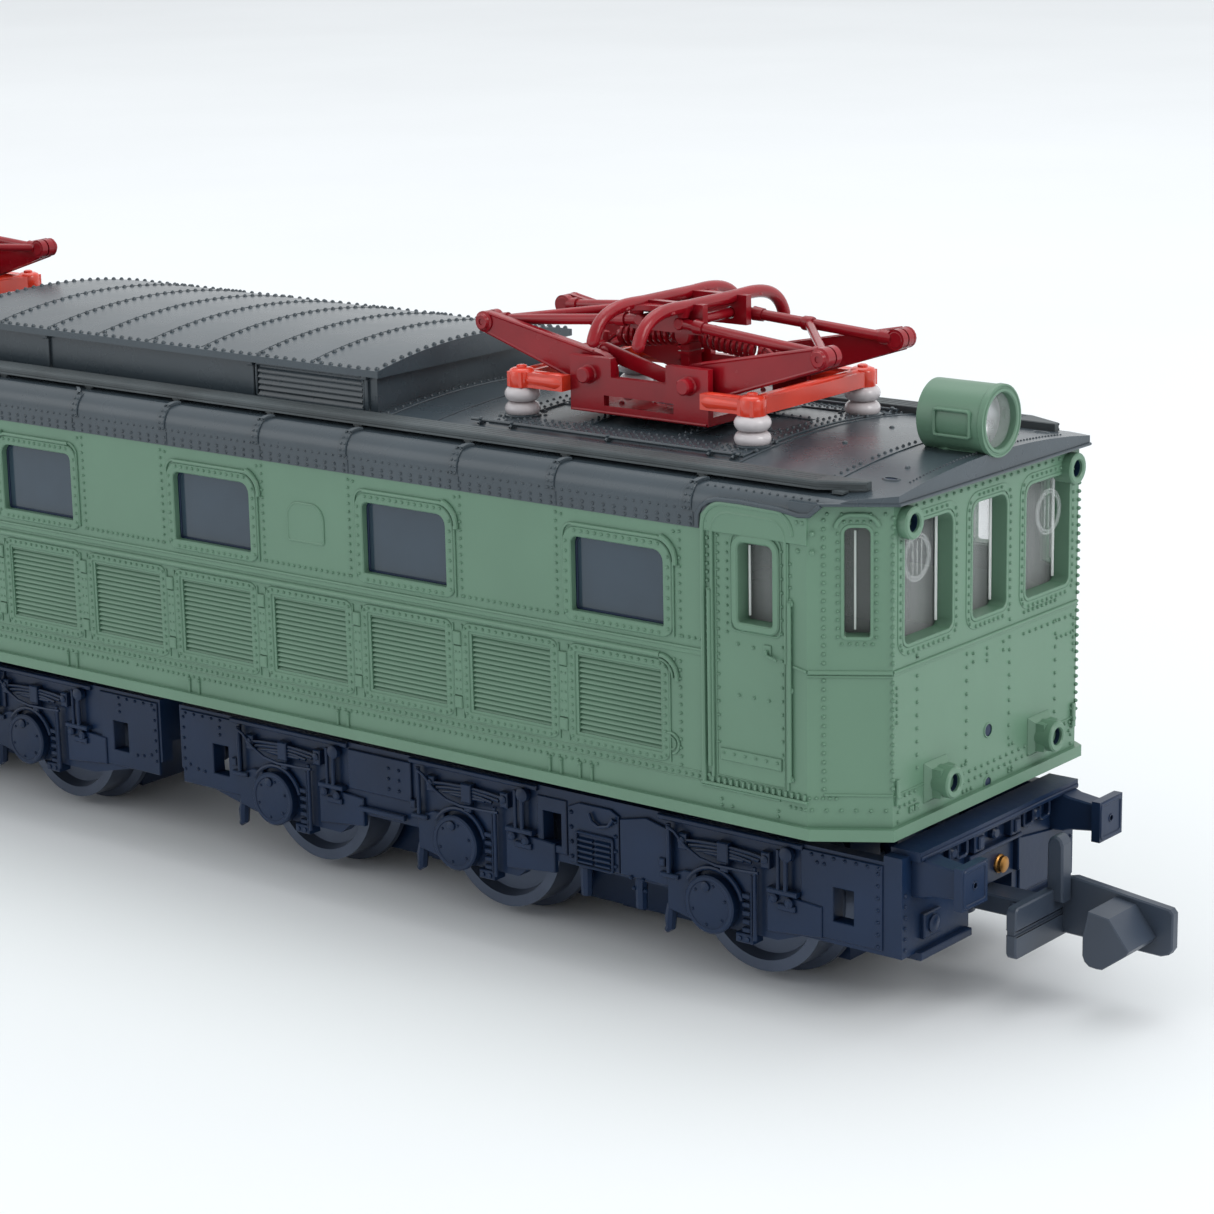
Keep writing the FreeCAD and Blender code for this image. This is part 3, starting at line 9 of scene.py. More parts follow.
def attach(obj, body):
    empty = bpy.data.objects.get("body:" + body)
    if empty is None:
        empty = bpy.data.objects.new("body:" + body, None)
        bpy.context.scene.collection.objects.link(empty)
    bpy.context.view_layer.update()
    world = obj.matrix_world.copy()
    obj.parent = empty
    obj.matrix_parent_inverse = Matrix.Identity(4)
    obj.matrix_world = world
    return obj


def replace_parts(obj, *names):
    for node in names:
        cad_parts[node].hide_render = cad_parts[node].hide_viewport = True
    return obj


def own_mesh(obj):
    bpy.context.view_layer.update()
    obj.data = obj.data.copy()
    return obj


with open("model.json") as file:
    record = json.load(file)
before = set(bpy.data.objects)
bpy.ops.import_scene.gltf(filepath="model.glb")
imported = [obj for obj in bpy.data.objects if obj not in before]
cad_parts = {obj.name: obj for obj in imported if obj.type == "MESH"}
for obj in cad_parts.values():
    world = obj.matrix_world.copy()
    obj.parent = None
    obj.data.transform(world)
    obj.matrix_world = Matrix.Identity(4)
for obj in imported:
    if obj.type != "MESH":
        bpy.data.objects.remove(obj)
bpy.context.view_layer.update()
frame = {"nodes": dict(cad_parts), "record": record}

MM = 0.001
SHARP_DEGREES = 35.0
RIVET_ROOT = 0.03
END_SIGNS = {"front": 1, "rear": -1}
ALONG, ACROSS, UP = (1, 0, 0), (0, 1, 0), (0, 0, 1)
MIRROR_X, MIRROR_Y, HALF_TURN = (-1, 1, 1), (1, -1, 1), (-1, -1, 1)


# ------------------------------------------------------------------ mesh building, millimetres
class Build:
    """Vertices and faces in millimetres that end up as one piece."""

    def __init__(self):
        self.verts = []
        self.faces = []

    def put(self, verts, faces):
        start = len(self.verts)
        self.verts += [Vector(v) for v in verts]
        self.faces += [tuple(start + i for i in face) for face in faces]

    def skin(self, loops, bands):
        """Faces between each of the first bands loops and the next one, round and round."""
        count = len(loops[0])
        faces = []
        for k in range(bands):
            low, high = k * count, (k + 1) % len(loops) * count
            for i in range(count):
                j = (i + 1) % count
                faces.append((low + i, low + j, high + j, high + i))
        return faces

    def loft(self, loops):
        """Skin over loops of equal length, with both ends capped."""
        count = len(loops[0])
        faces = self.skin(loops, len(loops) - 1)
        faces.append(tuple(reversed(range(count))))
        faces.append(tuple((len(loops) - 1) * count + i for i in range(count)))
        self.put([v for loop in loops for v in loop], faces)

    def torus(self, loops):
        """Skin over loops of equal length, the last joined to the first."""
        self.put([v for loop in loops for v in loop], self.skin(loops, len(loops)))

    def flipped(self, signs):
        """The build with each coordinate multiplied by its sign."""
        other = Build()
        other.verts = [Vector(s * c for s, c in zip(signs, v)) for v in self.verts]
        mirrored = signs[0] * signs[1] * signs[2] < 0
        other.faces = [tuple(reversed(f)) for f in self.faces] if mirrored else list(self.faces)
        return other

    def add(self, other):
        self.put(other.verts, other.faces)
        return self

    def copies(self, *changes):
        """The build itself and its flipped copies, as one."""
        whole = Build().add(self)
        for signs in changes:
            whole.add(self.flipped(signs))
        return whole

    def at_end(self, sign):
        """The build as it is at the front, or turned half a turn for the rear."""
        return self if sign > 0 else self.flipped(HALF_TURN)

    def both_ends(self):
        return self.copies(HALF_TURN)

    def four(self):
        """The build and its mirror images in X, in Y and in both."""
        return self.copies(MIRROR_X, MIRROR_Y, HALF_TURN)

    def two(self):
        """The build and its mirror image in Y."""
        return self.copies(MIRROR_Y)

    def piece(self, name, material, slot, body="superstructure"):
        mesh = bpy.data.meshes.new(name)
        mesh.from_pydata([v * MM for v in self.verts], [], self.faces)
        mesh.validate()
        shape = bmesh.new()
        shape.from_mesh(mesh)
        bmesh.ops.recalc_face_normals(shape, faces=shape.faces)
        shape.to_mesh(mesh)
        shape.free()
        mesh.shade_smooth()
        mesh.set_sharp_from_angle(angle=math.radians(SHARP_DEGREES))
        mesh.materials.append(material)
        item = bpy.data.objects.new(name, mesh)
        bpy.context.scene.collection.objects.link(item)
        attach(item, body)
        return item


def built(make):
    """Calls make with a new Build before its own values, and gives the filled Build back."""
    def fill(*values):
        trim = Build()
        make(trim, *values)
        return trim
    return fill


def many(make, shared, *rows):
    """Calls make once for each row, with the shared values before the row's own."""
    for row in rows:
        make(*shared, *row)


class Plane:
    """A wall: a runs along u, b along v, and c stands out of it."""

    def __init__(self, origin, u, v):
        self.origin = Vector(origin)
        self.u = Vector(u).normalized()
        self.v = Vector(v).normalized()
        self.n = self.u.cross(self.v)

    def at(self, a, b, c=0.0):
        return self.origin + a * self.u + b * self.v + c * self.n


FLAT = Plane((0, 0, 0), ALONG, ACROSS)


def spread(first, last, pitch):
    """Numbers from first to last, as near to pitch apart as fits."""
    count = max(1, round(abs(last - first) / pitch))
    return [first + (last - first) * i / count for i in range(count + 1)]


def turns(count):
    """The angles of count even steps round a circle."""
    return [2 * math.pi * i / count for i in range(count)]


def oval(at, a, b, wide, tall, c, count):
    """Points of an oval round (a, b), with half sizes wide and tall, placed by a plane's at()."""
    return [at(a + wide * math.cos(t), b + tall * math.sin(t), c) for t in turns(count)]


def rim(build, at, a, b, profile, count):
    """A turned rim round an opening at (a, b); profile is (radius, height)."""
    build.torus([oval(at, a, b, radius, radius, c, count) for radius, c in profile])


def basis(direction):
    """Two unit vectors square to direction and to each other."""
    d = Vector(direction).normalized()
    side = Vector(UP) if abs(d.z) < 0.9 else Vector(ALONG)
    u = side.cross(d).normalized()
    return u, d.cross(u)


def lathe(build, start, axis, profile, segments=20):
    """A turned solid: profile is (distance along axis, radius), ends capped."""
    axis = Vector(axis).normalized()
    u, w = basis(axis)
    loops = []
    for along, radius in profile:
        middle = Vector(start) + axis * along
        loops.append([middle + (u * math.cos(t) + w * math.sin(t)) * max(radius, 1e-3)
                      for t in turns(segments)])
    build.loft(loops)


def rivet(build, point, normal, radius=0.105, height=0.075):
    """A domed head whose root is sunk a little below point."""
    radius, height = 1.08 * radius, 1.35 * height
    lathe(build, Vector(point) - Vector(normal).normalized() * RIVET_ROOT, normal,
          [(0, radius), (RIVET_ROOT, radius), (RIVET_ROOT + 0.65 * height, radius * 0.72),
           (RIVET_ROOT + height, radius * 0.25)], 8)


def boss(build, plane, a, b, c, profile, segments=20):
    """A turned piece standing on a plane."""
    lathe(build, plane.at(a, b, c), plane.n, profile, segments)


def stud(build, plane, a, b, radius=0.105, c=0.0, height=0.075):
    """One rivet on a plane."""
    rivet(build, plane.at(a, b, c), plane.n, radius, height)


def rivet_row(build, plane, a0, b0, a1, b1, pitch, radius=0.105, c=0.0, height=0.075):
    """Rivets from (a0, b0) to (a1, b1) on a plane."""
    count = max(1, round(math.hypot(a1 - a0, b1 - b0) / pitch))
    for i in range(count + 1):
        t = i / count
        stud(build, plane, a0 + t * (a1 - a0), b0 + t * (b1 - b0), radius, c, height)


def tube(build, points, radius, segments=8, close=False):
    """A round bar through points, with flat ends; radius is one number or one per point."""
    points = [Vector(p) for p in points]
    count = len(points)
    radii = radius if isinstance(radius, (list, tuple)) else [radius] * count
    loops = []
    last = None
    for i, p in enumerate(points):
        if close:
            way = points[(i + 1) % count] - points[i - 1]
        else:
            way = points[min(i + 1, count - 1)] - points[max(i - 1, 0)]
        way.normalize()
        if last is None:
            u, w = basis(way)
        else:
            u = (last - way * last.dot(way)).normalized()
            w = way.cross(u)
        last = u
        loops.append([p + (u * math.cos(t) + w * math.sin(t)) * radii[i]
                      for t in turns(segments)])
    if close:
        build.torus(loops)
    else:
        build.loft(loops)


def rounded(a0, b0, a1, b1, radii, steps=5):
    """Corner-rounded rectangle; radii go bottom left, bottom right, top right, top left."""
    points = []
    centres = [(a0, b0, 1, 1, 180), (a1, b0, -1, 1, 270), (a1, b1, -1, -1, 0), (a0, b1, 1, -1, 90)]
    for (a, b, sa, sb, begin), radius in zip(centres, radii):
        for k in range(steps + 1):
            t = math.radians(begin + 90 * k / steps)
            points.append((a + sa * radius + radius * math.cos(t), b + sb * radius + radius * math.sin(t)))
    return points


def four_of(value):
    return value if isinstance(value, (list, tuple)) else [value] * 4


def ring(build, plane, box, radii, width, low, high, bevel=0.06, steps=5):
    """A raised frame round an opening: box and radii are the opening's, width the frame's.

    The radii, and the width, are one number or four.
    """
    a0, b0, a1, b1 = box
    widths, radii = four_of(width), four_of(radii)

    def loop(out, c):
        grow = [w * out for w in widths]
        corner = [max(0.04, r + out * min(widths)) for r in radii]
        points = rounded(a0 - grow[0], b0 - grow[1], a1 + grow[2], b1 + grow[3], corner, steps)
        return [plane.at(a, b, c) for a, b in points]

    edge = bevel / min(widths)
    build.torus([loop(1, low), loop(1, high - bevel), loop(1 - edge, high), loop(edge, high),
                 loop(0, high - bevel), loop(0, low)])


def leftward(points):
    """True where an outline runs anticlockwise."""
    following = points[1:] + points[:1]
    return sum(p[0] * q[1] - q[0] * p[1] for p, q in zip(points, following)) > 0


def shrunk(points, by):
    """A convex outline moved inwards."""
    count = len(points)
    turn = 1 if leftward(points) else -1
    moved = []
    for i, (a, b) in enumerate(points):
        pa, pb = points[i - 1]
        na, nb = points[(i + 1) % count]
        e1 = Vector((a - pa, b - pb)).normalized()
        e2 = Vector((na - a, nb - b)).normalized()
        n1 = Vector((-e1.y, e1.x)) * turn
        n2 = Vector((-e2.y, e2.x)) * turn
        mid = n1 + n2
        mid = mid / max(mid.dot(n1), 0.3)
        moved.append((a + mid.x * by, b + mid.y * by))
    return moved


def plate(build, plane, outline, low, high, bevel=0.05, both=False):
    """A plate of any outline, standing from c = low to high, its top edge bevelled."""
    points = outline if leftward(outline) else outline[::-1]
    inner = shrunk(points, bevel)
    levels = [(inner, low), (points, low + bevel)] if both else [(points, low)]
    levels += [(points, high - bevel), (inner, high)]
    build.loft([[plane.at(a, b, c) for a, b in edge] for edge, c in levels])


def slab(build, plane, a0, b0, a1, b1, high, bevel=0.05, low=-0.05):
    plate(build, plane, [(a0, b0), (a1, b0), (a1, b1), (a0, b1)], low, high, bevel)


def brick(build, low, high, bevel=0.05):
    """A box between two corners with every long edge along X bevelled."""
    plane = Plane((low[0], 0, 0), ACROSS, UP)
    plate(build, plane, [(low[1], low[2]), (high[1], low[2]), (high[1], high[2]), (low[1], high[2])],
          0, high[0] - low[0], bevel, True)


def arc(cx, cy, radius, first, last, steps):
    return [(cx + radius * math.cos(math.radians(t)), cy + radius * math.sin(math.radians(t)))
            for t in (first + (last - first) * k / steps for k in range(steps + 1))]


def rail(build, plane, points, radius, c=0.0, segments=8):
    """A half-sunk round moulding along (a, b) points of the plane."""
    tube(build, [plane.at(a, b, c) for a, b in points], radius, segments)


# ------------------------------------------------------------------ camera, light and floor
def make_camera():
    """The viewing angle: azimuth 38.8, elevation 14.2 and a slight roll."""
    azimuth, elevation, roll = math.radians(38.788), math.radians(14.2145), math.radians(-1.107)
    back = Vector((math.sin(azimuth) * math.cos(elevation), -math.cos(azimuth) * math.cos(elevation),
                   math.sin(elevation)))
    right = (-back).cross(Vector(UP)).normalized()
    up = right.cross(-back)
    r = right * math.cos(roll) + up * math.sin(roll)
    u = up * math.cos(roll) - right * math.sin(roll)
    data = bpy.data.cameras.new("camera")
    data.lens = 96.307
    data.sensor_width = 36
    data.clip_start = 0.005
    data.clip_end = 50
    item = bpy.data.objects.new("camera", data)
    bpy.context.scene.collection.objects.link(item)
    turn = Matrix((r, u, back)).transposed().to_4x4()
    item.matrix_world = Matrix.Translation(Vector((0.123866, -0.123862, 0.055349))) @ turn
    bpy.context.scene.camera = item


def area_light(name, place, target, size, power, tint=(1, 1, 1)):
    data = bpy.data.lights.new(name, "AREA")
    data.shape = "DISK"
    data.size = size
    data.energy = power
    data.color = tint
    item = bpy.data.objects.new(name, data)
    bpy.context.scene.collection.objects.link(item)
    way = Vector(place) - Vector(target)
    item.matrix_world = Matrix.Translation(Vector(place)) @ way.to_track_quat("Z", "Y").to_matrix().to_4x4()


def add_node(tree, kind, values, wires):
    """A shader node with set inputs and with wires from other nodes' outputs."""
    node = tree.nodes.new(kind)
    for key, value in values.items():
        node.inputs[key].default_value = value
    for key, output in wires.items():
        tree.links.new(output, node.inputs[key])
    return node


def add_ramp(tree, low, high, source):
    """A colour ramp between two (position, colour) stops."""
    ramp = add_node(tree, "ShaderNodeValToRGB", {}, {"Fac": source})
    for stop, (place, color) in zip(ramp.color_ramp.elements, (low, high)):
        stop.position = place
        stop.color = color
    return ramp.outputs["Color"]


def make_studio():
    scene = bpy.context.scene
    scene.view_settings.view_transform = "Standard"
    world = bpy.data.worlds.new("studio")
    scene.world = world
    world.use_nodes = True
    tree = world.node_tree
    background = tree.nodes["Background"]
    background.inputs["Color"].default_value = (0.97, 0.99, 1.0, 1)
    # the light room is dimmer on the side the model is looked at from
    heading = tree.nodes.new("ShaderNodeTexCoord")
    toward = add_node(tree, "ShaderNodeVectorMath", {1: (0.60, -0.78, 0.15)},
                      {0: heading.outputs["Generated"]})
    toward.operation = "DOT_PRODUCT"
    dimmed = add_node(tree, "ShaderNodeMapRange",
                      {"From Min": 0.35, "From Max": 1.0, "To Min": 1.0, "To Max": 0.55},
                      {"Value": toward.outputs["Value"]})
    tree.links.new(dimmed.outputs["Result"], background.inputs["Strength"])
    area_light("key", (0.5, 0.02, 0.36), (0.02, 0, 0.015), 0.3, 1.0, (1, 1, 0.98))
    area_light("top", (-0.1, 0.15, 0.6), (0, 0, 0.02), 0.5, 0.9, (0.97, 0.99, 1))
    area_light("fill", (-0.42, -0.46, 0.26), (0, 0, 0.015), 0.35, 0.3, (0.97, 0.99, 1))
    # a pale floor, a wide disc that meets the pale world at the horizon
    rings = [0.0, 0.05, 0.12, 0.25, 0.6, 1.5, 4.0, 12.0]
    count = 64
    verts = [(0, 0, 0)]
    faces = []
    for k, radius in enumerate(rings[1:]):
        verts += [(radius * math.cos(2 * math.pi * i / count),
                   radius * math.sin(2 * math.pi * i / count), 0)
                  for i in range(count)]
        for i in range(count):
            j = (i + 1) % count
            if k == 0:
                faces.append((0, 1 + i, 1 + j))
            else:
                a, b = 1 + (k - 1) * count, 1 + k * count
                faces.append((a + i, b + i, b + j, a + j))
    mesh = bpy.data.meshes.new("floor")
    mesh.from_pydata(verts, [], faces)
    mesh.materials.append(material("floor_paper", (0.8, 0.82, 0.84), 0.9, vary=0.02, scale=12, bump=0.0))
    item = bpy.data.objects.new("floor", mesh)
    bpy.context.scene.collection.objects.link(item)


# ------------------------------------------------------------------ materials
def material(name, color, rough, vary=0.06, scale=220, bump=0.02, metal=0.0, recess_shade=0.0, coat=0.0,
             specular=0.5, shade_tint=(0.02, 0.022, 0.025)):
    """Moulded plastic or painted metal: mottled colour, uneven gloss, fine surface grain, and painted shade
    in the recesses.
    """
    made = bpy.data.materials.new(name)
    made.use_nodes = True
    tree = made.node_tree
    shader = tree.nodes["Principled BSDF"]
    shader.inputs["Metallic"].default_value = metal
    shader.inputs["Specular IOR Level"].default_value = specular
    if coat:
        shader.inputs["Coat Weight"].default_value = coat
        shader.inputs["Coat Roughness"].default_value = 0.12
    place = tree.nodes.new("ShaderNodeTexCoord").outputs["Object"]
    cloud = add_node(tree, "ShaderNodeTexNoise", {"Scale": scale, "Detail": 6}, {"Vector": place})
    darker = tuple(c * (1 - vary) for c in color) + (1,)
    lighter = tuple(min(1, c * (1 + vary)) for c in color) + (1,)
    result = add_ramp(tree, (0.3, darker), (0.7, lighter), cloud.outputs["Fac"])
    if recess_shade:
        # painted shade: where ambient occlusion finds a recess, the colour is mixed towards a dark tint
        hollow = add_node(tree, "ShaderNodeAmbientOcclusion", {"Distance": 0.0006}, {})
        hollow.samples = 4
        share = add_ramp(tree, (0.35, (recess_shade, recess_shade, recess_shade, 1)), (0.95, (0, 0, 0, 1)), hollow.outputs["AO"])
        mix = add_node(tree, "ShaderNodeMixRGB", {"Color2": tuple(shade_tint) + (1,)},
                       {"Fac": share, "Color1": result})
        result = mix.outputs["Color"]
    tree.links.new(result, shader.inputs["Base Color"])
    spots = add_node(tree, "ShaderNodeTexNoise", {"Scale": scale * 3.1, "Detail": 4}, {"Vector": place})
    gloss = add_node(tree, "ShaderNodeMapRange",
                     {"To Min": max(0.02, rough * 0.85), "To Max": min(1.0, rough * 1.15)},
                     {"Value": spots.outputs["Fac"]})
    tree.links.new(gloss.outputs["Result"], shader.inputs["Roughness"])
    if bump:
        grain = add_node(tree, "ShaderNodeTexNoise", {"Scale": scale * 14, "Detail": 3}, {"Vector": place})
        relief = add_node(tree, "ShaderNodeBump", {"Strength": bump, "Distance": 0.00005},
                          {"Height": grain.outputs["Fac"]})
        tree.links.new(relief.outputs["Normal"], shader.inputs["Normal"])
    return made


def glass(name, color, rough=0.03, see=0.85):
    """Clear moulding: glossy, faintly clouded, partly see-through."""
    made = material(name, color, rough, vary=0.05, scale=260, bump=0.015)
    made.node_tree.nodes["Principled BSDF"].inputs["Alpha"].default_value = 1 - see
    made.node_tree.nodes["Principled BSDF"].inputs["IOR"].default_value = 1.5
    return made


# the darkening that a finish mixes into its recesses, and the tint of it, is painted shade
GREEN = material("green_body", (0.118, 0.226, 0.152), 0.38, vary=0.05, scale=160, bump=0.05, recess_shade=0.35,
                 shade_tint=(0.05, 0.12, 0.08))
ROOF = material("dark_roof", (0.045, 0.062, 0.076), 0.28, vary=0.1, scale=170, bump=0.1, recess_shade=0.4)
PLANK = material("worn_plank", (0.058, 0.072, 0.078), 0.5, vary=0.22, scale=300, bump=0.25, recess_shade=0.3)
TINTED = material("tinted_window", (0.032, 0.054, 0.078), 0.12, vary=0.08, scale=300, bump=0.02)
CLEAR = glass("clear_window", (0.8, 0.84, 0.84))
# painted highlight: near-white, mostly opaque glass for the bright streaks on the glazing's edges
GLINT = glass("pane_glint", (0.92, 0.95, 0.94), 0.08, 0.25)
WEIGHT = material("cast_weight", (0.05, 0.05, 0.055), 0.5, vary=0.15, scale=260, bump=0.2, metal=0.5)
STEEL = material("plated_steel", (0.5, 0.5, 0.52), 0.28, vary=0.06, scale=240, bump=0.03, metal=1.0)
BOARD = material("green_board", (0.02, 0.12, 0.06), 0.35, vary=0.1, scale=200, bump=0.05)
BRASS = material("brass_turned", (0.42, 0.21, 0.06), 0.38, vary=0.1, scale=220, bump=0.06, metal=1.0)
NYLON = material("nylon_gears", (0.7, 0.68, 0.6), 0.45, vary=0.04, scale=260, bump=0.03)
WHEEL = material("blackened_wheel", (0.08, 0.1, 0.145), 0.34, vary=0.15, scale=300, bump=0.05, metal=0.6)
BLACK = material("underframe_black", (0.0075, 0.021, 0.057), 0.34, vary=0.18, scale=210, bump=0.12,
                 recess_shade=0.5, specular=0.28, shade_tint=(0.001, 0.003, 0.012))
# painted light: a lighter copy of the underframe black, for the light on the coupler hook's top
COUPLER_LIT = material("coupler_lit_black", (0.036, 0.05, 0.076), 0.4, vary=0.12, scale=210, bump=0.1, recess_shade=0.3)
PORCELAIN = material("insulator_pale", (0.66, 0.62, 0.64), 0.16, vary=0.12, scale=420, bump=0.08, recess_shade=0.5,
                     shade_tint=(0.22, 0.16, 0.15))
ORANGE = material("orange_frame", (0.72, 0.045, 0.018), 0.25, vary=0.1, scale=320, bump=0.05, coat=0.4)
RED = material("red_enamel", (0.28, 0.004, 0.011), 0.26, vary=0.16, scale=330, bump=0.1, coat=0.15,
               specular=0.38, recess_shade=0.35, shade_tint=(0.05, 0.0, 0.004))

make_camera()
make_studio()

# the slot of every kept CAD node and the finish that goes with it
FINISHES = {"body_green": GREEN, "roof_grey": ROOF, "tinted_window": TINTED, "clear_window": CLEAR,
            "cast_weight": WEIGHT, "motor_steel": STEEL, "board_green": BOARD, "plain_steel": STEEL,
            "brass": BRASS, "gear_nylon": NYLON, "wheel_steel": WHEEL, "underframe_black": BLACK,
            "insulator_white": PORCELAIN, "pantograph_orange": ORANGE, "pantograph_red": RED}
SLOT_OF = {row["node"]: row["material_slot"] for row in frame["record"]["subparts"]}
for node_name, node in frame["nodes"].items():
    node.data.materials.clear()
    node.data.materials.append(FINISHES[SLOT_OF[node_name]])


# ------------------------------------------------------------------ body side walls
SIDE_Y = 10.0
CORNER_X, FRONT_X = 43.67, 46.86
CHAMFER_RUN = (3.19, 2.08)
SIDE = Plane((0, -SIDE_Y, 0), ALONG, UP)
CHAMFER = Plane((CORNER_X, -SIDE_Y, 0), (*CHAMFER_RUN, 0), UP)
CHAMFER_LENGTH = math.hypot(*CHAMFER_RUN)
FRONT = Plane((FRONT_X, 0, 0), ACROSS, UP)
WINDOW_X = (6.6, 19.8, 33.0)
PANEL_X = (0.0, 6.6, 13.2, 19.8, 26.4, 33.0)
SILL, HEAD = 17.87, 21.54


def window_frame(build, x):
    """Frame, rivets and drip rail round one side window."""
    ring(build, SIDE, (x - 2.7, SILL + 0.05, x + 2.7, HEAD - 0.05), (0.08, 0.08, 0.55, 0.34), 0.51,
         -0.7, 0.1, 0.05)
    for b in (SILL - 0.26, HEAD + 0.26):
        rivet_row(build, SIDE, x - 2.45, b, x + 2.45, b, 0.405, 0.085, 0.09)
    for a in (x - 3.0, x + 3.0):
        rivet_row(build, SIDE, a, SILL - 0.02, a, HEAD - 0.3, 0.5, 0.085, 0.09)
    top = HEAD + 0.53
    drip = [(x - 2.6, top), (x + 2.35, top)] + arc(x + 2.35, top - 1.02, 1.02, 80, 0, 6)
    many(rail, (build, SIDE), (drip, 0.1, 0.05), (arc(x + 2.3, top - 1.0, 1.12, 75, -8, 7), 0.13, 0.06),
         ([(x + 3.27, HEAD - 0.5), (x + 3.27, SILL - 0.35)], 0.06, 0.03),
         (arc(x - 2.62, HEAD - 0.02, 0.58, 90, 180, 5) + [(x - 3.2, SILL - 0.2)], 0.06, 0.03))


@built
def side_windows(trim):
    for x in WINDOW_X:
        window_frame(trim, x)


@built
def gaskets(trim):
    """Dark seals inside the side window openings."""
    for x in WINDOW_X:
        ring(trim, SIDE, (x - 2.6, SILL + 0.15, x + 2.6, HEAD - 0.15), (0.06, 0.06, 0.5, 0.3), 0.13,
             -0.72, -0.27, 0.03)


@built
def pane_faces(trim):
    """Raised faces of the tinted moulding, just behind the side window openings."""
    for x in WINDOW_X:
        slab(trim, SIDE, x - 2.66, SILL + 0.1, x + 2.66, HEAD - 0.1, -0.34, 0.04, -0.78)


def slat(build, plane, a0, a1, section):
    """A bar along a from a0 to a1 whose section is given as (c, b) points."""
    build.loft([[plane.at(a, b, c) for c, b in section] for a in (a0, a1)])


def louvre_panel(build, x, hooded=False):
    """A louvred access panel: frame, slats and the rivets round it."""
    a0, b0, a1, b1 = x - 2.62, 11.86, x + 2.55, 15.92
    ring(build, SIDE, (a0, b0, a1, b1), (0.1, 0.1, 0.35 if hooded else 0.1, 0.1), 0.42, -0.15, 0.06, 0.04)
    for k in range(16):
        b = 12.02 + 0.252 * k
        slat(build, SIDE, a0 + 0.12, a1 - 0.1,
             ((-0.2, b - 0.1), (-0.045, b - 0.085), (-0.055, b - 0.03), (-0.2, b + 0.115)))
    for b in (b0 - 0.23, b1 + 0.22):
        rivet_row(build, SIDE, a0 + 0.1, b, a1 - 0.1, b, 0.405, 0.08, 0.05)
    for a in (a0 - 0.19, a1 + 0.19):
        rivet_row(build, SIDE, a, b0 - 0.1, a, b1 + 0.1, 0.4, 0.08, 0.05)
    for a in (a0 - 0.42, a1 + 0.44):
        rail(build, SIDE, [(a, b0 - 0.35), (a, b1 + 0.28)], 0.055, 0.02)
    if hooded:
        many(rail, (build, SIDE), (arc(x + 2.45, 15.55, 1.0, 88, -6, 8), 0.12, 0.05),
             (arc(x + 2.4, 15.55, 0.78, 88, 0, 7), 0.07, 0.04),
             (arc(x + 3.0, 12.4, 0.5, 110, -75, 9), 0.07, 0.03),
             (arc(x + 3.0, 12.4, 0.3, 100, -80, 7), 0.05, 0.02))


def hinge_plate(build, x):
    """Strap between two louvre panels with its three hinge blocks."""
    many(slab, (build, SIDE), (x - 0.26, 12.62, x + 0.26, 15.12, 0.09, 0.03),
         (x - 0.24, 15.16, x + 0.24, 15.82, 0.16), (x - 0.24, 11.98, x + 0.24, 12.58, 0.16))
    for b in spread(12.95, 14.8, 0.46):
        for a in (x - 0.12, x + 0.12):
            stud(build, SIDE, a, b, 0.06, 0.08, 0.05)


@built
def side_panels(trim):
    for x in PANEL_X[1:]:
        louvre_panel(trim, x, x == PANEL_X[-1])
    for x in (3.3, 9.9, 16.5, 23.1, 29.7):
        hinge_plate(trim, x)


@built
def long_lines(trim):
    """Mouldings that run from door to door."""
    rail(trim, SIDE, [(-38.1, 17.12), (38.1, 17.12)], 0.075, 0.02)
    slab(trim, SIDE, -38.05, 16.84, 38.05, 17.08, 0.05, 0.03)
    rail(trim, SIDE, [(-35.45, 16.55), (35.45, 16.55)], 0.15, 0.02, 10)
    for b in (11.32, 10.9):
        rail(trim, SIDE, [(-37.7, b), (37.7, b)], 0.035, 0.0, 6)


@built
def side_lines(trim):
    """Rivet rows, skirt straps and the blank panel between two windows."""
    for x in WINDOW_X:
        for a in (x - 3.63, x + 3.63):
            rivet_row(trim, SIDE, a, 17.62, a, 22.5, 0.405, 0.075)
        many(stud, (trim, SIDE), (x + 3.3, 22.45, 0.075), (x - 3.3, 22.45, 0.075))
    gaps = [(0.2, 2.85), (10.35, 16.05), (23.55, 29.25), (36.75, 37.8)]
    for a0, a1 in gaps:
        rivet_row(trim, SIDE, a0, 17.62, a1, 17.62, 0.385, 0.08)
    rivet_row(trim, SIDE, 36.6, 11.45, 36.6, 16.4, 0.42, 0.085)
    stud(trim, SIDE, 36.28, 16.45, 0.085)
    rivet_row(trim, SIDE, 0.2, 11.1, 37.6, 11.1, 0.385, 0.085)
    rivet_row(trim, SIDE, 0.38, 10.62, 31.6, 10.62, 0.385, 0.08)
    for a in (4.3, 5.0, 14.9, 15.6, 28.7, 29.4, 30.55, 31.27):
        rail(trim, SIDE, [(a, 10.42), (a, 9.72)], 0.085, 0.02)
        stud(trim, SIDE, a, 10.47, 0.1, 0.02, 0.1)
    # blank arched panel between two windows
    arch = rounded(12.0, 18.95, 14.4, 20.9, (0.15, 0.15, 0.75, 0.75), 5)
    tube(trim, [SIDE.at(a, b, 0.0) for a, b in arch], 0.07, 6, True)
    plate(trim, SIDE, rounded(12.03, 18.98, 14.37, 20.87, (0.15, 0.15, 0.72, 0.72), 5), -0.05, 0.035, 0.03)


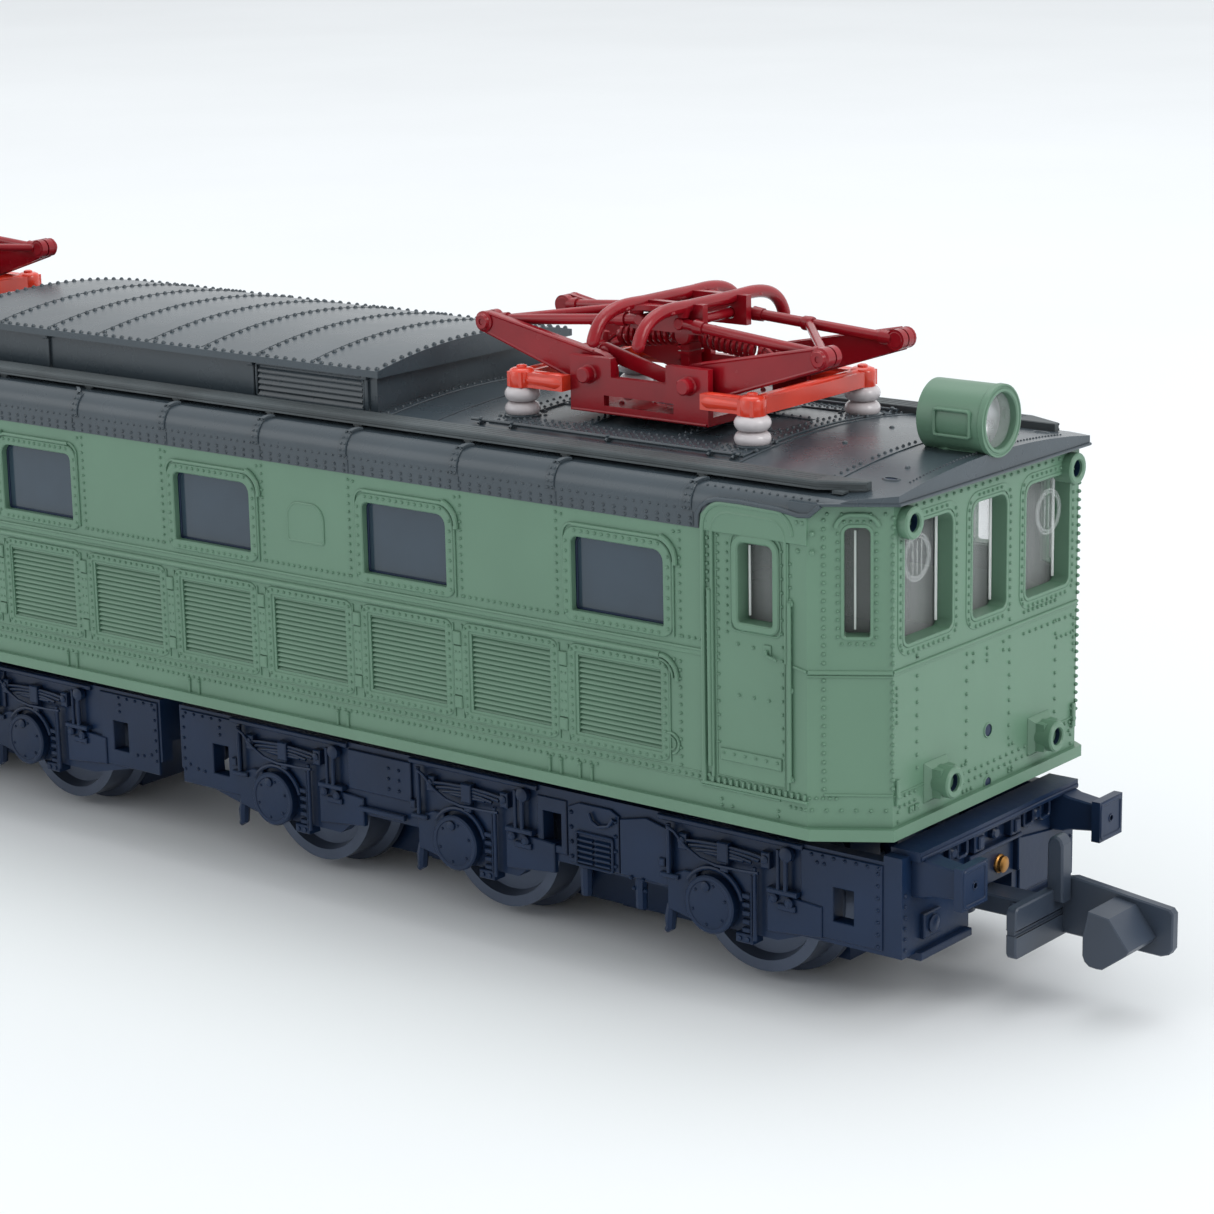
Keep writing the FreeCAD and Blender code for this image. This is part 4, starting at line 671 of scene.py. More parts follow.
@built
def cab_door(trim):
    """Everything on and round one cab door."""
    # post and arched double moulding round the doorway
    left, right = 37.98, 42.95
    post = [(left, 10.95), (left, 22.9)] + arc(left + 1.2, 22.92, 1.2, 180, 95, 6)
    post += arc(right - 1.0, 23.1, 1.0, 85, 0, 7)
    rail(trim, SIDE, post, 0.13, 0.04)
    inner = [(38.47, 11.25), (38.47, 22.6)] + arc(38.47 + 1.0, 22.72, 1.0, 180, 92, 6)
    inner += arc(42.55 - 0.85, 22.85, 0.85, 85, 0, 6) + [(42.58, 17.2)]
    many(rail, (trim, SIDE), (inner, 0.1, 0.03), ([(42.66, 22.7), (42.66, 11.3)], 0.07, 0.02))
    door = [(38.68, 11.35), (42.46, 11.35), (42.46, 22.5)] + arc(41.9, 22.75, 0.56, 20, 90, 4)
    door += arc(39.4, 22.6, 0.72, 90, 180, 5)
    rail(trim, SIDE, door + [door[0]], 0.045, 0.0, 6)
    # window frame
    ring(trim, SIDE, (39.95, 18.75, 41.85, 22.45), (0.14, 0.14, 0.32, 0.32), 0.37, -0.7, 0.14, 0.07)
    ring(trim, SIDE, (39.58, 18.38, 42.22, 22.82), (0.25, 0.25, 0.42, 0.42), 0.1, -0.05, 0.06, 0.03)
    # rivets: two close columns on the left post, one each side of the leaf
    many(rivet_row, (trim, SIDE), (38.22, 17.3, 38.22, 23.2, 0.4, 0.09, 0.02),
         (38.8, 17.1, 38.8, 22.6, 0.4, 0.075), (39.3, 18.2, 39.3, 22.3, 0.42, 0.07),
         (38.8, 12.95, 38.8, 16.8, 0.62, 0.075), (42.36, 12.9, 42.36, 22.3, 0.62, 0.075),
         (42.8, 17.5, 42.8, 21.8, 0.55, 0.07), (39.15, 23.08, 41.7, 23.08, 0.62, 0.07),
         (39.95, 15.32, 41.6, 15.32, 0.81, 0.08), (39.9, 17.72, 40.75, 17.66, 0.8, 0.08))
    for a in (43.2, 43.95):
        for b in (23.3, 22.45):
            stud(trim, SIDE, a, b, 0.11)
    # kick plate
    slab(trim, SIDE, 38.9, 12.14, 42.3, 12.7, 0.09, 0.03)
    rivet_row(trim, SIDE, 39.1, 12.5, 42.1, 12.5, 0.6, 0.07, 0.08)
    # handle
    slab(trim, SIDE, 41.35, 17.4, 41.75, 17.9, 0.08, 0.03)
    tube(trim, [SIDE.at(41.55, 17.62, 0.02), SIDE.at(41.55, 17.62, 0.16), SIDE.at(41.6, 17.45, 0.17),
                SIDE.at(42.15, 17.3, 0.17)], [0.09, 0.08, 0.065, 0.05])
    # sill with its row of bolts
    slab(trim, SIDE, 37.8, 10.82, 43.72, 10.98, 0.17)
    for a in spread(38.45, 43.55, 0.335):
        slab(trim, SIDE, a - 0.075, 10.98, a + 0.075, 11.26, 0.13, 0.04)
    slab(trim, SIDE, 37.8, 10.7, 42.2, 10.82, 0.1, 0.03)
    rail(trim, SIDE, [(38.2, 11.35), (38.45, 11.0)], 0.1, 0.03)
    for a, b in ((38.9, 10.24), (38.9, 9.95), (42.08, 10.22), (42.06, 9.95), (39.5, 9.98)):
        stud(trim, SIDE, a, b, 0.08)
    rivet_row(trim, SIDE, 42.75, 10.55, 43.6, 10.55, 0.3, 0.08)
    # waist seam between the door and the corner
    rail(trim, SIDE, [(42.95, 17.12), (43.67, 16.98)], 0.07, 0.02)


@built
def handrail_trim(trim):
    """Stanchion collars of the two handrails beside a door."""
    for a, levels in ((38.35, (11.85, 16.0, 20.0)), (42.8, (11.85, 16.0, 20.0))):
        for b in levels:
            boss(trim, SIDE, a, b, -0.02, [(0, 0.17), (0.08, 0.17), (0.13, 0.11), (0.2, 0.1)], 10)


@built
def chamfer_corner(trim):
    """The angled corner: tall window, rivet columns, seams."""
    k = CHAMFER_LENGTH
    ring(trim, CHAMFER, (1.65, 18.6, 2.8, 23.55), (0.12, 0.12, 0.3, 0.3), 0.17, -0.8, 0.04, 0.03)
    many(rivet_row, (trim, CHAMFER), (0.74, 11.55, 0.74, 16.6, 0.405, 0.095),
         (0.74, 17.4, 0.74, 23.9, 0.405, 0.095))
    for a in (1.36, 3.07):
        rivet_row(trim, CHAMFER, a, 18.6, a, 23.3, 0.405, 0.08)
    many(rivet_row, (trim, CHAMFER), (1.55, 18.28, 2.9, 18.28, 0.33, 0.08),
         (1.65, 23.84, 2.8, 23.84, 0.29, 0.07, 0.02))
    hood = [(1.28, 23.55)] + arc(1.95, 23.45, 0.7, 160, 95, 4) + arc(2.5, 23.45, 0.7, 85, 15, 4)
    rail(trim, CHAMFER, hood, 0.11, 0.04)
    rivet_row(trim, CHAMFER, 0.9, 24.18, k - 0.35, 24.18, 0.62, 0.08)
    # waist band and the line under it
    slab(trim, CHAMFER, 0.02, 16.86, k, 17.06, 0.07, 0.04)
    rail(trim, CHAMFER, [(0.0, 16.78), (k, 16.78)], 0.05, 0.02, 6)
    # lower plate edge and its rivets
    slab(trim, CHAMFER, 0.74, 11.22, k, 11.34, 0.06, 0.03)
    many(rivet_row, (trim, CHAMFER), (0.2, 10.56, k - 0.3, 10.56, 0.62, 0.085),
         (0.1, 11.12, 1.3, 11.12, 0.34, 0.08))
    # riveted angle along the vertical edge to the front
    edge = Vector((FRONT_X, -7.92, 0))
    way = (FRONT.n + CHAMFER.n).normalized()
    for b in spread(11.6, 16.5, 0.405):
        rivet(trim, edge + Vector((0, 0, b)) + 0.02 * way, way, 0.1, 0.08)
    for b in spread(17.4, 24.0, 0.405):
        rivet(trim, edge + Vector((0, 0, b)) + 0.02 * way, way, 0.1, 0.08)


# ------------------------------------------------------------------ cab fronts
# where the lamps sit on one half of a cab front, with how far they stand out: lower, upper
LAMPS = ((4.48, 11.2, 1.1), (6.98, 23.66, 0.5))
LAMP_PLACES = [(side * a, b, reach) for side in (-1, 1) for a, b, reach in LAMPS]
# height and radius of the two sockets on the centre line, and how far they are off it
SOCKETS = ((12.42, 0.3), (9.88, 0.26))
SOCKET_A = 0.02


@built
def front_face(trim):
    """Everything on the flat of a cab front, both halves."""
    boxes = ((-7.1, 18.0, -3.1, 23.5), (-1.5, 18.0, 1.5, 23.5), (3.1, 18.0, 7.1, 23.5))
    for a0, b0, a1, b1 in boxes:
        many(ring, (trim, FRONT), ((a0 + 0.05, b0 + 0.05, a1 - 0.05, b1 - 0.05), (0.35, 0.35, 0.55, 0.55),
                                   0.17, -0.85, 0.05, 0.03),
             ((a0 - 0.12, b0 - 0.12, a1 + 0.12, b1 + 0.12), (0.45, 0.45, 0.6, 0.6), 0.36,
              -0.05, 0.035, 0.02))
        many(rivet_row, (trim, FRONT), (a0 + 0.35, b0 - 0.34, a1 - 0.35, b0 - 0.34, 0.4, 0.095, 0.03),
             (a0 + 0.55, b1 + 0.3, a1 - 0.55, b1 + 0.3, 0.4, 0.08, 0.03))
        for a in (a0 - 0.27, a1 + 0.27):
            rivet_row(trim, FRONT, a, b0 + 0.1, a, b1 - 0.3, 0.4, 0.09, 0.03)
            for b, s in ((b0, -1), (b1, 1)):
                inwards = 0.09 if a < (a0 + a1) / 2 else -0.09
                stud(trim, FRONT, a + inwards, b + s * 0.14 + (0.0 if s < 0 else -0.1), 0.085, 0.03)
    # waist ridge
    rail(trim, FRONT, [(-7.92, 16.98), (7.92, 16.98)], 0.075, 0.03)
    slab(trim, FRONT, -7.9, 16.8, 7.9, 16.95, 0.04, 0.02)
    # rivet columns and rows of the lower half
    for a, b0, b1 in ((-5.98, 12.1, 16.4), (5.98, 11.9, 16.4), (-1.85, 11.4, 16.5), (1.85, 11.6, 16.5)):
        rivet_row(trim, FRONT, a, b0, a, b1, 0.6, 0.09)
    for a in (-6.0, 1.85):
        stud(trim, FRONT, a, 17.35, 0.09)
    for a, b0, b1 in ((-1.3, 16.0, 16.4), (-0.12, 15.8, 16.4), (-6.0, 17.3, 17.3), (1.3, 16.0, 16.4),
                      (7.62, 14.6, 16.2), (-7.62, 14.6, 16.2)):
        rivet_row(trim, FRONT, a, b0, a, b1, 0.3, 0.085)
    many(rivet_row, (trim, FRONT), (3.1, 17.42, 5.9, 17.42, 0.4, 0.085),
         (3.1, 16.38, 7.4, 16.38, 0.55, 0.085), (6.1, 15.52, 7.4, 15.52, 0.45, 0.085),
         (-2.1, 10.82, 3.3, 10.82, 0.54, 0.09), (-2.1, 10.38, 3.6, 10.38, 0.54, 0.09))
    for a in (-2.1, -1.75, -1.4, 1.85, 2.15):
        for b in (9.95, 10.1 if a > 0 else 9.98):
            stud(trim, FRONT, a, b, 0.085)
    for a in (-2.2, -1.9, 1.9, 2.2):
        stud(trim, FRONT, a, 11.25, 0.085)
    for side in (-1, 1):
        for a in (7.35, 6.95, 6.55, 6.15):
            many(stud, (trim, FRONT), (side * a, 10.62, 0.085), (side * a, 11.05, 0.085))
        rivet_row(trim, FRONT, side * 7.5, 9.95, side * 7.5, 11.7, 0.42, 0.08)
        for a in (6.0, 6.45):
            slab(trim, FRONT, side * a - 0.17, 10.12, side * a + 0.17, 10.42, 0.1, 0.04)
            stud(trim, FRONT, side * a, 10.27, 0.08, 0.09, 0.05)
        slab(trim, FRONT, side * 7.62 - 0.14, 10.75, side * 7.62 + 0.14, 11.95, 0.17)
        boss(trim, FRONT, side * 7.62, 11.2, 0.0, [(0, 0.16), (0.16, 0.16), (0.2, 0.1)], 10)
        # step seam and the root bracket of the lower lamp
        rail(trim, FRONT, [(side * 7.9, 11.22), (side * 5.4, 11.22)], 0.045, 0.01, 6)
        a, b = side * LAMPS[0][0], LAMPS[0][1]
        loops = []
        for half, c in ((0.94, -0.05), (0.94, 0.02), (0.69, 0.3), (0.66, 0.75)):
            loops.append([FRONT.at(a + u * half, b + v * half, c)
                          for u, v in ((-1, -1), (1, -1), (1, 1), (-1, 1))])
        trim.loft(loops)
    # eave rivets
    rivet_row(trim, FRONT, -7.3, 24.22, 7.3, 24.22, 0.61, 0.085)


@built
def lamp_rims(trim):
    """Rims round the lamp mouths and the cone root of the upper lamps."""
    for a, b, reach in LAMP_PLACES:
        rim(trim, FRONT.at, a, b, ((0.42, reach - 0.7), (0.42, reach - 0.02), (0.48, reach + 0.04),
                                   (0.66, reach + 0.04), (0.75, reach - 0.04), (0.75, reach - 0.25),
                                   (0.735, -0.05)), 24)


@built
def hole_shade(trim):
    """Painted shade: black linings of the lamp bores and black bottoms of two sockets on the centre line of
    a cab front, standing for the shade in these holes.
    """
    for a, b, reach in LAMP_PLACES:
        boss(trim, FRONT, a, b, -0.12, [(0, 0.43), (0.1, 0.43), (0.14, 0.4)], 20)
        rim(trim, FRONT.at, a, b, ((0.44, -0.1), (0.44, reach - 0.14), (0.395, reach - 0.14),
                                   (0.395, -0.1)), 24)
    for b, radius in SOCKETS:
        boss(trim, FRONT, SOCKET_A, b, -0.04, [(0, radius), (0.046, radius), (0.05, radius - 0.02)], 18)


@built
def hole_rims(trim):
    """Soft rims of the two sockets."""
    for b, radius in SOCKETS:
        rim(trim, FRONT.at, SOCKET_A, b,
            ((radius, -0.03), (radius, 0.05), (radius + 0.05, 0.055), (radius + 0.1, -0.03)), 20)


@built
def glazing_rings(trim):
    """Round wiper-screen mouldings in the outer front panes."""
    for side in (-1, 1):
        for radius in (1.06, 0.92):
            tube(trim, oval(FRONT.at, side * 5.62, 21.75, radius, radius, -0.28, 32), 0.06, 6, True)
        for side_a in (-0.35, 0.0, 0.35):
            tube(trim, [FRONT.at(side * 5.62 + side_a, 21.75 - 0.75, -0.26),
                        FRONT.at(side * 5.62 + side_a, 21.75 + 0.75, -0.26)], 0.035, 6)


@built
def pane_edge_glints(trim):
    """Painted highlights: bright streaks standing for the light caught by the clear moulding's edges inside
    the cab windows.
    """
    for a0, a1 in ((-7.1, -3.1), (-1.5, 1.5), (3.1, 7.1)):
        for a in (a0 + 0.16, a1 - 0.16):
            tube(trim, [FRONT.at(a, 18.3, -0.8), FRONT.at(a, 23.2, -0.8)], 0.07, 6)
    for side in (-1, 1):
        corner = Plane((CORNER_X, side * SIDE_Y, 0), (CHAMFER_RUN[0], -side * CHAMFER_RUN[1], 0), UP)
        depth = -0.62 if side < 0 else 0.62
        tube(trim, [corner.at(2.12, 18.8, depth), corner.at(2.12, 23.3, depth)], 0.055, 6)
        door = Plane((0, side * SIDE_Y, 0), ALONG, UP)
        tube(trim, [door.at(40.12, 18.95, depth), door.at(40.12, 22.2, depth)], 0.06, 6)


@built
def lip_line(trim):
    """The rounded lower edge that runs all round the body."""
    corners = [(0, -10.12), (43.63, -10.12), (46.98, -7.93), (46.98, 0)]
    tube(trim, [Vector((x, y, 9.42)) for x, y in corners], 0.12, 10)


body_trim = side_windows().four().add(side_lines().four()).add(long_lines().two())
body_trim.piece("side_wall_trim", GREEN, "body_green")
middle_panel = Build()
louvre_panel(middle_panel, PANEL_X[0])
side_panels().four().add(middle_panel.two()).piece("louvre_panels", GREEN, "body_green")
gaskets().four().piece("window_gaskets", BLACK, "underframe_black")
pane_faces().four().piece("tinted_panes", TINTED, "tinted_window")
cab_door().four().piece("cab_doors", GREEN, "body_green")
handrail_trim().four().piece("handrail_collars", GREEN, "body_green")
chamfer_corner().four().piece("cab_corner_trim", GREEN, "body_green")
front_face().both_ends().piece("cab_front_trim", GREEN, "body_green")
lamp_rims().both_ends().piece("lamp_rims", GREEN, "body_green")
hole_rims().both_ends().piece("socket_rims", GREEN, "body_green")
hole_shade().both_ends().piece("shaded_holes", BLACK, "underframe_black")
glazing_rings().both_ends().piece("pane_rings", CLEAR, "clear_window")
pane_edge_glints().both_ends().piece("pane_edge_glints", GLINT, "clear_window")
lip_line().four().piece("body_lip", GREEN, "body_green")


# ------------------------------------------------------------------ roof
def circle_through(p, q, r):
    """Centre and radius of the circle through three (a, b) points."""
    ax, ay, bx, by = q[0] - p[0], q[1] - p[1], r[0] - p[0], r[1] - p[1]
    d = 2 * (ax * by - ay * bx)
    ux = (by * (ax * ax + ay * ay) - ay * (bx * bx + by * by)) / d
    uy = (ax * (bx * bx + by * by) - bx * (ax * ax + ay * ay)) / d
    return p[0] + ux, p[1] + uy, math.hypot(ux, uy)


class Arch:
    """A surface arched over Y: x along the roof, y across it, c above it."""

    def __init__(self, half, eave, crown):
        rise = crown - eave
        self.radius = (half ** 2 + rise ** 2) / (2 * rise)
        self.centre = crown - self.radius

    def at(self, x, y, c=0.0):
        tilt = math.asin(y / self.radius)
        reach = self.radius + c
        return Vector((x, reach * math.sin(tilt), self.centre + reach * math.cos(tilt)))

    def n(self, y):
        return Vector((0, y / self.radius, math.sqrt(1 - (y / self.radius) ** 2)))

    def rivets(self, build, x0, y0, x1, y1, pitch, radius=0.09, c=0.0, height=0.07):
        count = max(1, round(math.hypot(x1 - x0, y1 - y0) / pitch))
        for i in range(count + 1):
            t = i / count
            y = y0 + t * (y1 - y0)
            rivet(build, self.at(x0 + t * (x1 - x0), y, c), self.n(y), radius, height)

    def sheet(self, build, x0, y0, x1, y1, low, high, bevel=0.04):
        """A raised sheet that follows the arch."""
        loops = []
        steps = max(1, round(abs(y1 - y0) / 0.9))
        stations = [(y0, high - bevel)] + [(y, high) for y in
                                           spread(y0 + bevel, y1 - bevel, abs(y1 - y0) / steps)]
        stations.append((y1, high - bevel))
        for y, top in stations:
            loops.append([self.at(x0, y, low), self.at(x1, y, low), self.at(x1, y, top - bevel),
                          self.at(x1 - bevel, y, top), self.at(x0 + bevel, y, top),
                          self.at(x0, y, top - bevel)])
        build.loft(loops)


DECK = Arch(9.35, 24.85, 25.7)
TOP = Arch(7.6, 27.5, 28.3)
SHOULDER_Y, SHOULDER_Z, SHOULDER_R = circle_through((10.05, 23.55), (9.93, 24.32), (9.35, 24.85))
CORNICE = Plane((0, -10.05, 0), ALONG, UP)
STRAP_X = (3.3, 10.0, 16.0, 23.2, 29.2, 37.2)
VENT_X = 45.7
LAMP_Z = 27.1


def shoulder(x, tilt, c=0.0):
    """A point of the rounded shoulder; tilt in degrees above level."""
    t = math.radians(tilt)
    return Vector((x, -SHOULDER_Y - (SHOULDER_R + c) * math.cos(t),
                   SHOULDER_Z + (SHOULDER_R + c) * math.sin(t)))


def shoulder_normal(tilt):
    return Vector((0, -math.cos(math.radians(tilt)), math.sin(math.radians(tilt))))


SHOULDER_LOW = math.degrees(math.atan2(23.55 - SHOULDER_Z, 10.05 - SHOULDER_Y))
SHOULDER_HIGH = math.degrees(math.atan2(24.85 - SHOULDER_Z, 9.35 - SHOULDER_Y))


@built
def cornice_trim(trim):
    """Rivet rows of the cornice and the riveted straps over the shoulder joints."""
    for level in (22.93, 23.21):
        rivet_row(trim, CORNICE, 0.315, level, 37.3, level, 0.63, 0.085, 0.0, 0.06)
    for i in range(79):
        rivet(trim, shoulder(0.235 + 0.47 * i, SHOULDER_LOW + 4),
              shoulder_normal(SHOULDER_LOW + 4), 0.06, 0.05)
    for x in STRAP_X:
        tilts = spread(SHOULDER_LOW + 2, SHOULDER_HIGH - 8, 9)
        loops = []
        for k, tilt in enumerate(tilts):
            high = 0.045 if k in (0, len(tilts) - 1) else 0.085
            loops.append([shoulder(x - 0.24, tilt, -0.05), shoulder(x + 0.2, tilt, -0.05),
                          shoulder(x + 0.2, tilt, high - 0.03), shoulder(x + 0.17, tilt, high),
                          shoulder(x - 0.21, tilt, high), shoulder(x - 0.24, tilt, high - 0.03)])
        trim.loft(loops)
        for tilt in spread(SHOULDER_LOW + 6, SHOULDER_HIGH - 14, 15):
            for a in (-0.14, 0.1):
                rivet(trim, shoulder(x + a, tilt, 0.08), shoulder_normal(tilt), 0.07, 0.06)
        # hooked tab over the upper end of the strap
        loops = []
        for tilt, a in ((SHOULDER_HIGH - 12, 0.05), (SHOULDER_HIGH - 2, 0.22), (SHOULDER_HIGH + 6, 0.5)):
            loops.append([shoulder(x + a - 0.16, tilt, -0.05), shoulder(x + a + 0.16, tilt, -0.05),
                          shoulder(x + a + 0.14, tilt, 0.15), shoulder(x + a - 0.14, tilt, 0.15)])
        trim.loft(loops)
        rail(trim, CORNICE, [(x + 0.24, 22.85), (x + 0.24, 23.5)], 0.05, 0.0, 6)
    # rivets of the shoulder over the door
    for i in range(15):
        rivet(trim, shoulder(37.95 + 0.43 * i, SHOULDER_HIGH - 12),
              shoulder_normal(SHOULDER_HIGH - 12), 0.06, 0.05)


@built
def door_heads(trim):
    """Green filling under the arch over a door."""
    outline = [(37.8, 22.75), (43.72, 22.75), (43.72, 24.08), (42.3, 24.15), (40.1, 24.2), (38.9, 24.16),
               (38.3, 23.9), (37.9, 23.5)]
    plate(trim, SIDE, outline, -0.4, 0.1, 0.03)
    for a in (43.2, 43.5):
        stud(trim, SIDE, a, 23.75, 0.1, 0.09)


@built
def eave_trim(trim):
    """Dark arch over a door, the eave step and the lip round a cab roof."""
    path = [(37.72, 22.85), (37.74, 23.45), (37.95, 23.85), (38.35, 24.12), (38.85, 24.26), (40.1, 24.28),
            (42.3, 24.2), (43.3, 24.06), (43.85, 24.12), (44.15, 24.38), (44.45, 24.62)]
    loops = []
    for i, (a, b) in enumerate(path):
        pa, pb = path[max(i - 1, 0)]
        na, nb = path[min(i + 1, len(path) - 1)]
        way = Vector((na - pa, nb - pb)).normalized()
        out = Vector((-way.y, way.x))
        section = ((-0.1, 0.0), (-0.1, 0.12), (-0.05, 0.17), (0.05, 0.17), (0.11, 0.1), (0.11, -0.35))
        loops.append([SIDE.at(a + out.x * s, b + out.y * s, c) for s, c in section])
    trim.loft(loops)
    # dark infill between the arch and the eave
    plate(trim, SIDE, [(42.7, 24.2), (43.3, 24.1), (43.85, 24.15), (44.2, 24.4), (44.4, 24.66),
                       (42.7, 24.66)],
          -0.3, 0.04, 0.02)
    corners = [(44.3, -10.08), (47.33, -8.12), (47.33, 0)]
    tube(trim, [Vector((x, y, 24.66)) for x, y in corners], 0.08, 8)


@built
def walkway(trim):
    """One walkway with cut-back ends, an edge groove, end blocks and brackets."""
    outline = [(-45.6, -7.75), (-45.6, -8.12), (-43.6, -9.05), (43.6, -9.05), (45.6, -8.12), (45.6, -7.75)]
    plate(trim, FLAT, outline, 25.1, 25.5, 0.04)
    for low, high in ((25.1, 25.21), (25.36, 25.46)):
        for path in ([(-43.6, -9.05), (43.6, -9.05)], [(43.6, -9.05), (45.6, -8.12)],
                     [(-43.6, -9.05), (-45.6, -8.12)]):
            (x0, y0), (x1, y1) = path
            loops = []
            for x, y in ((x0, y0), (x1, y1)):
                loops.append([Vector((x, y + 0.03, low)), Vector((x, y - 0.06, low)),
                              Vector((x, y - 0.06, high)), Vector((x, y + 0.03, high))])
            trim.loft(loops)
    for sign in (-1, 1):
        block = [(sign * 44.3, -7.8), (sign * 44.3, -8.7), (sign * 45.58, -8.12), (sign * 45.58, -7.8)]
        plate(trim, FLAT, block, 24.9, 25.12, 0.02)
        for x in STRAP_X + (44.6,):
            a = sign * x
            brick(trim, (a - 0.2, -9.0, 24.62 if x < 44 else 25.0), (a + 0.2, -7.85, 25.14), 0.04)
            brick(trim, (a - 0.3, -8.98, 24.98), (a + 0.3, -7.9, 25.12), 0.03)
    # worn planks: shallow ridges along the top
    for y in (-8.75, -8.42, -8.08):
        tube(trim, [Vector((-43.4, y, 25.47)), Vector((43.4, y, 25.47))], 0.055, 6)


@built
def hatch(trim):
    """Riveted frame let into the deck below a pantograph."""
    for y0, y1 in ((-6.15, -4.75), (4.75, 6.15)):
        DECK.sheet(trim, 22.1, y0, 37.45, y1, -0.05, 0.1)
        for y in spread(y0 + 0.3, y1 - 0.3, 0.4):
            DECK.rivets(trim, 22.5, y, 37.1, y, 0.46, 0.085, 0.09)
    for x0, x1 in ((22.1, 23.3), (36.3, 37.45)):
        DECK.sheet(trim, x0, -4.8, x1, 4.8, -0.05, 0.1)
        for x in (x0 + 0.3, x1 - 0.25):
            DECK.rivets(trim, x, -4.5, x, 4.5, 0.5, 0.085, 0.09)
    for y in (-1.6, 1.6):
        DECK.sheet(trim, 23.2, y - 0.2, 36.4, y + 0.2, -0.05, 0.07)
        DECK.rivets(trim, 23.5, y, 36.2, y, 0.5, 0.075, 0.06)
    for x in (27.0, 32.7):
        DECK.sheet(trim, x - 0.35, -4.8, x + 0.35, 4.8, -0.05, 0.07)
        for a in (x - 0.16, x + 0.16):
            DECK.rivets(trim, a, -4.5, a, 4.5, 0.5, 0.075, 0.06)
    for y in (-6.45, 6.45):
        tube(trim, [DECK.at(x, y, 0.22) for x in (21.3, 37.5)], 0.085, 8)
        for x in (21.9, 23.9, 29.8, 35.8, 37.2):
            tube(trim, [DECK.at(x, y - 0.28 if y > 0 else y + 0.28, 0.02), DECK.at(x, y, 0.2),
                        DECK.at(x, y + 0.25 if y > 0 else y - 0.25, 0.1)], 0.07, 6)
            lathe(trim, DECK.at(x, y, 0.0), DECK.n(y), [(0, 0.13), (0.3, 0.12), (0.36, 0.06)], 8)


@built
def deck_seams(trim):
    """Cross seams, bolts and vents of the deck between a pantograph and a cab front."""
    DECK.sheet(trim, 37.6, -7.7, 37.78, 7.7, -0.05, 0.05, 0.02)
    many(DECK.rivets, (trim,), (37.0, -7.6, 37.0, -6.5, 0.5, 0.085), (37.0, 6.5, 37.0, 7.6, 0.5, 0.085))
    DECK.sheet(trim, 43.38, -7.6, 43.52, 7.6, -0.05, 0.045, 0.02)
    for y0, y1 in ((-7.4, -4.9), (-3.9, -0.4), (0.4, 7.4)):
        DECK.rivets(trim, 43.05, y0, 43.05, y1, 0.5, 0.08)
    DECK.rivets(trim, 46.72, -6.4, 46.72, 6.4, 0.27, 0.055, 0.0, 0.045)
    for x, y in ((40.1, 2.1), (40.3, -2.1), (45.4, -4.6), (45.4, 4.6)):
        rivet(trim, DECK.at(x, y), DECK.n(y), 0.13, 0.07)
    DECK.sheet(trim, 15.55, -6.9, 16.45, 6.9, -0.05, 0.06, 0.03)
    DECK.rivets(trim, 16.1, -6.8, 16.1, 6.8, 0.55, 0.085, 0.05)
    DECK.sheet(trim, 19.3, -7.6, 19.42, 7.6, -0.05, 0.04, 0.02)
    for y in (-6.35, 6.35):
        loops = []
        for wide, tall, c in ((0.34, 0.14, 0.0), (0.34, 0.14, 0.05), (0.42, 0.21, 0.06),
                              (0.5, 0.28, -0.02)):
            loops.append(oval(DECK.at, VENT_X, y, wide, tall, c, 20))
        trim.torus(loops)


@built
def vent_shade(trim):
    """Painted shade: black bottoms of the two oval vents of a cab roof, standing for the shade inside them.
    """
    for y in (-6.35, 6.35):
        trim.loft([oval(DECK.at, VENT_X, y, 0.36, 0.16, c, 20) for c in (-0.03, 0.015)])


@built
def clerestory_trim(trim):
    """Rivet rows over the raised roof, ribs along its walls."""
    for x in (-11.7, -7.8, -3.9, 0.0, 3.9, 7.8, 11.7):
        for y in spread(-7.05, 7.05, 0.6):
            rivet(trim, TOP.at(x, y), TOP.n(y), 0.125, 0.1)
        TOP.sheet(trim, x - 0.3, -7.3, x - 0.22, 7.3, -0.04, 0.02, 0.01)
    for x in (-15.95, 15.95):
        for y in spread(-7.35, 7.35, 0.6):
            rivet(trim, TOP.at(x, y), TOP.n(y), 0.125, 0.1)
    for y in (-7.42, 7.42):
        for x in spread(-15.4, 15.4, 0.63):
            rivet(trim, TOP.at(x, y), TOP.n(y), 0.12, 0.09)
    for side in (-1, 1):
        wall = Plane((0, side * 7.0, 0), (-side, 0, 0), UP)
        for a in (-15.35, -8.4, 7.05, 14.95):
            slab(trim, wall, a - 0.11, 25.2, a + 0.11, 27.12, 0.16, 0.04)
            slab(trim, wall, a - 0.17, 26.9, a + 0.17, 27.14, 0.34)
            lathe(trim, wall.at(a, 25.2, 0.02), UP, [(0, 0.16), (0.25, 0.12)], 8)
        rail(trim, wall, [(-15.5, 25.22), (15.5, 25.22)], 0.07, 0.02, 6)
        rail(trim, wall, [(-15.5, 27.1), (15.5, 27.1)], 0.08, 0.02, 6)
        # louvre box
        ring(trim, wall, (7.4, 25.42, 14.72, 26.95), (0.08, 0.08, 0.3, 0.08), 0.14, -0.1, 0.16, 0.04)
        for k in range(5):
            b = 25.5 + 0.3 * k
            slat(trim, wall, 7.46, 14.66, ((0.0, b - 0.08), (0.13, b - 0.09), (0.12, b - 0.03),
                                           (0.0, b + 0.13)))


def facing(y, z, x):
    """A point of the plane square to X that stands at x."""
    return Vector((x, y, z))


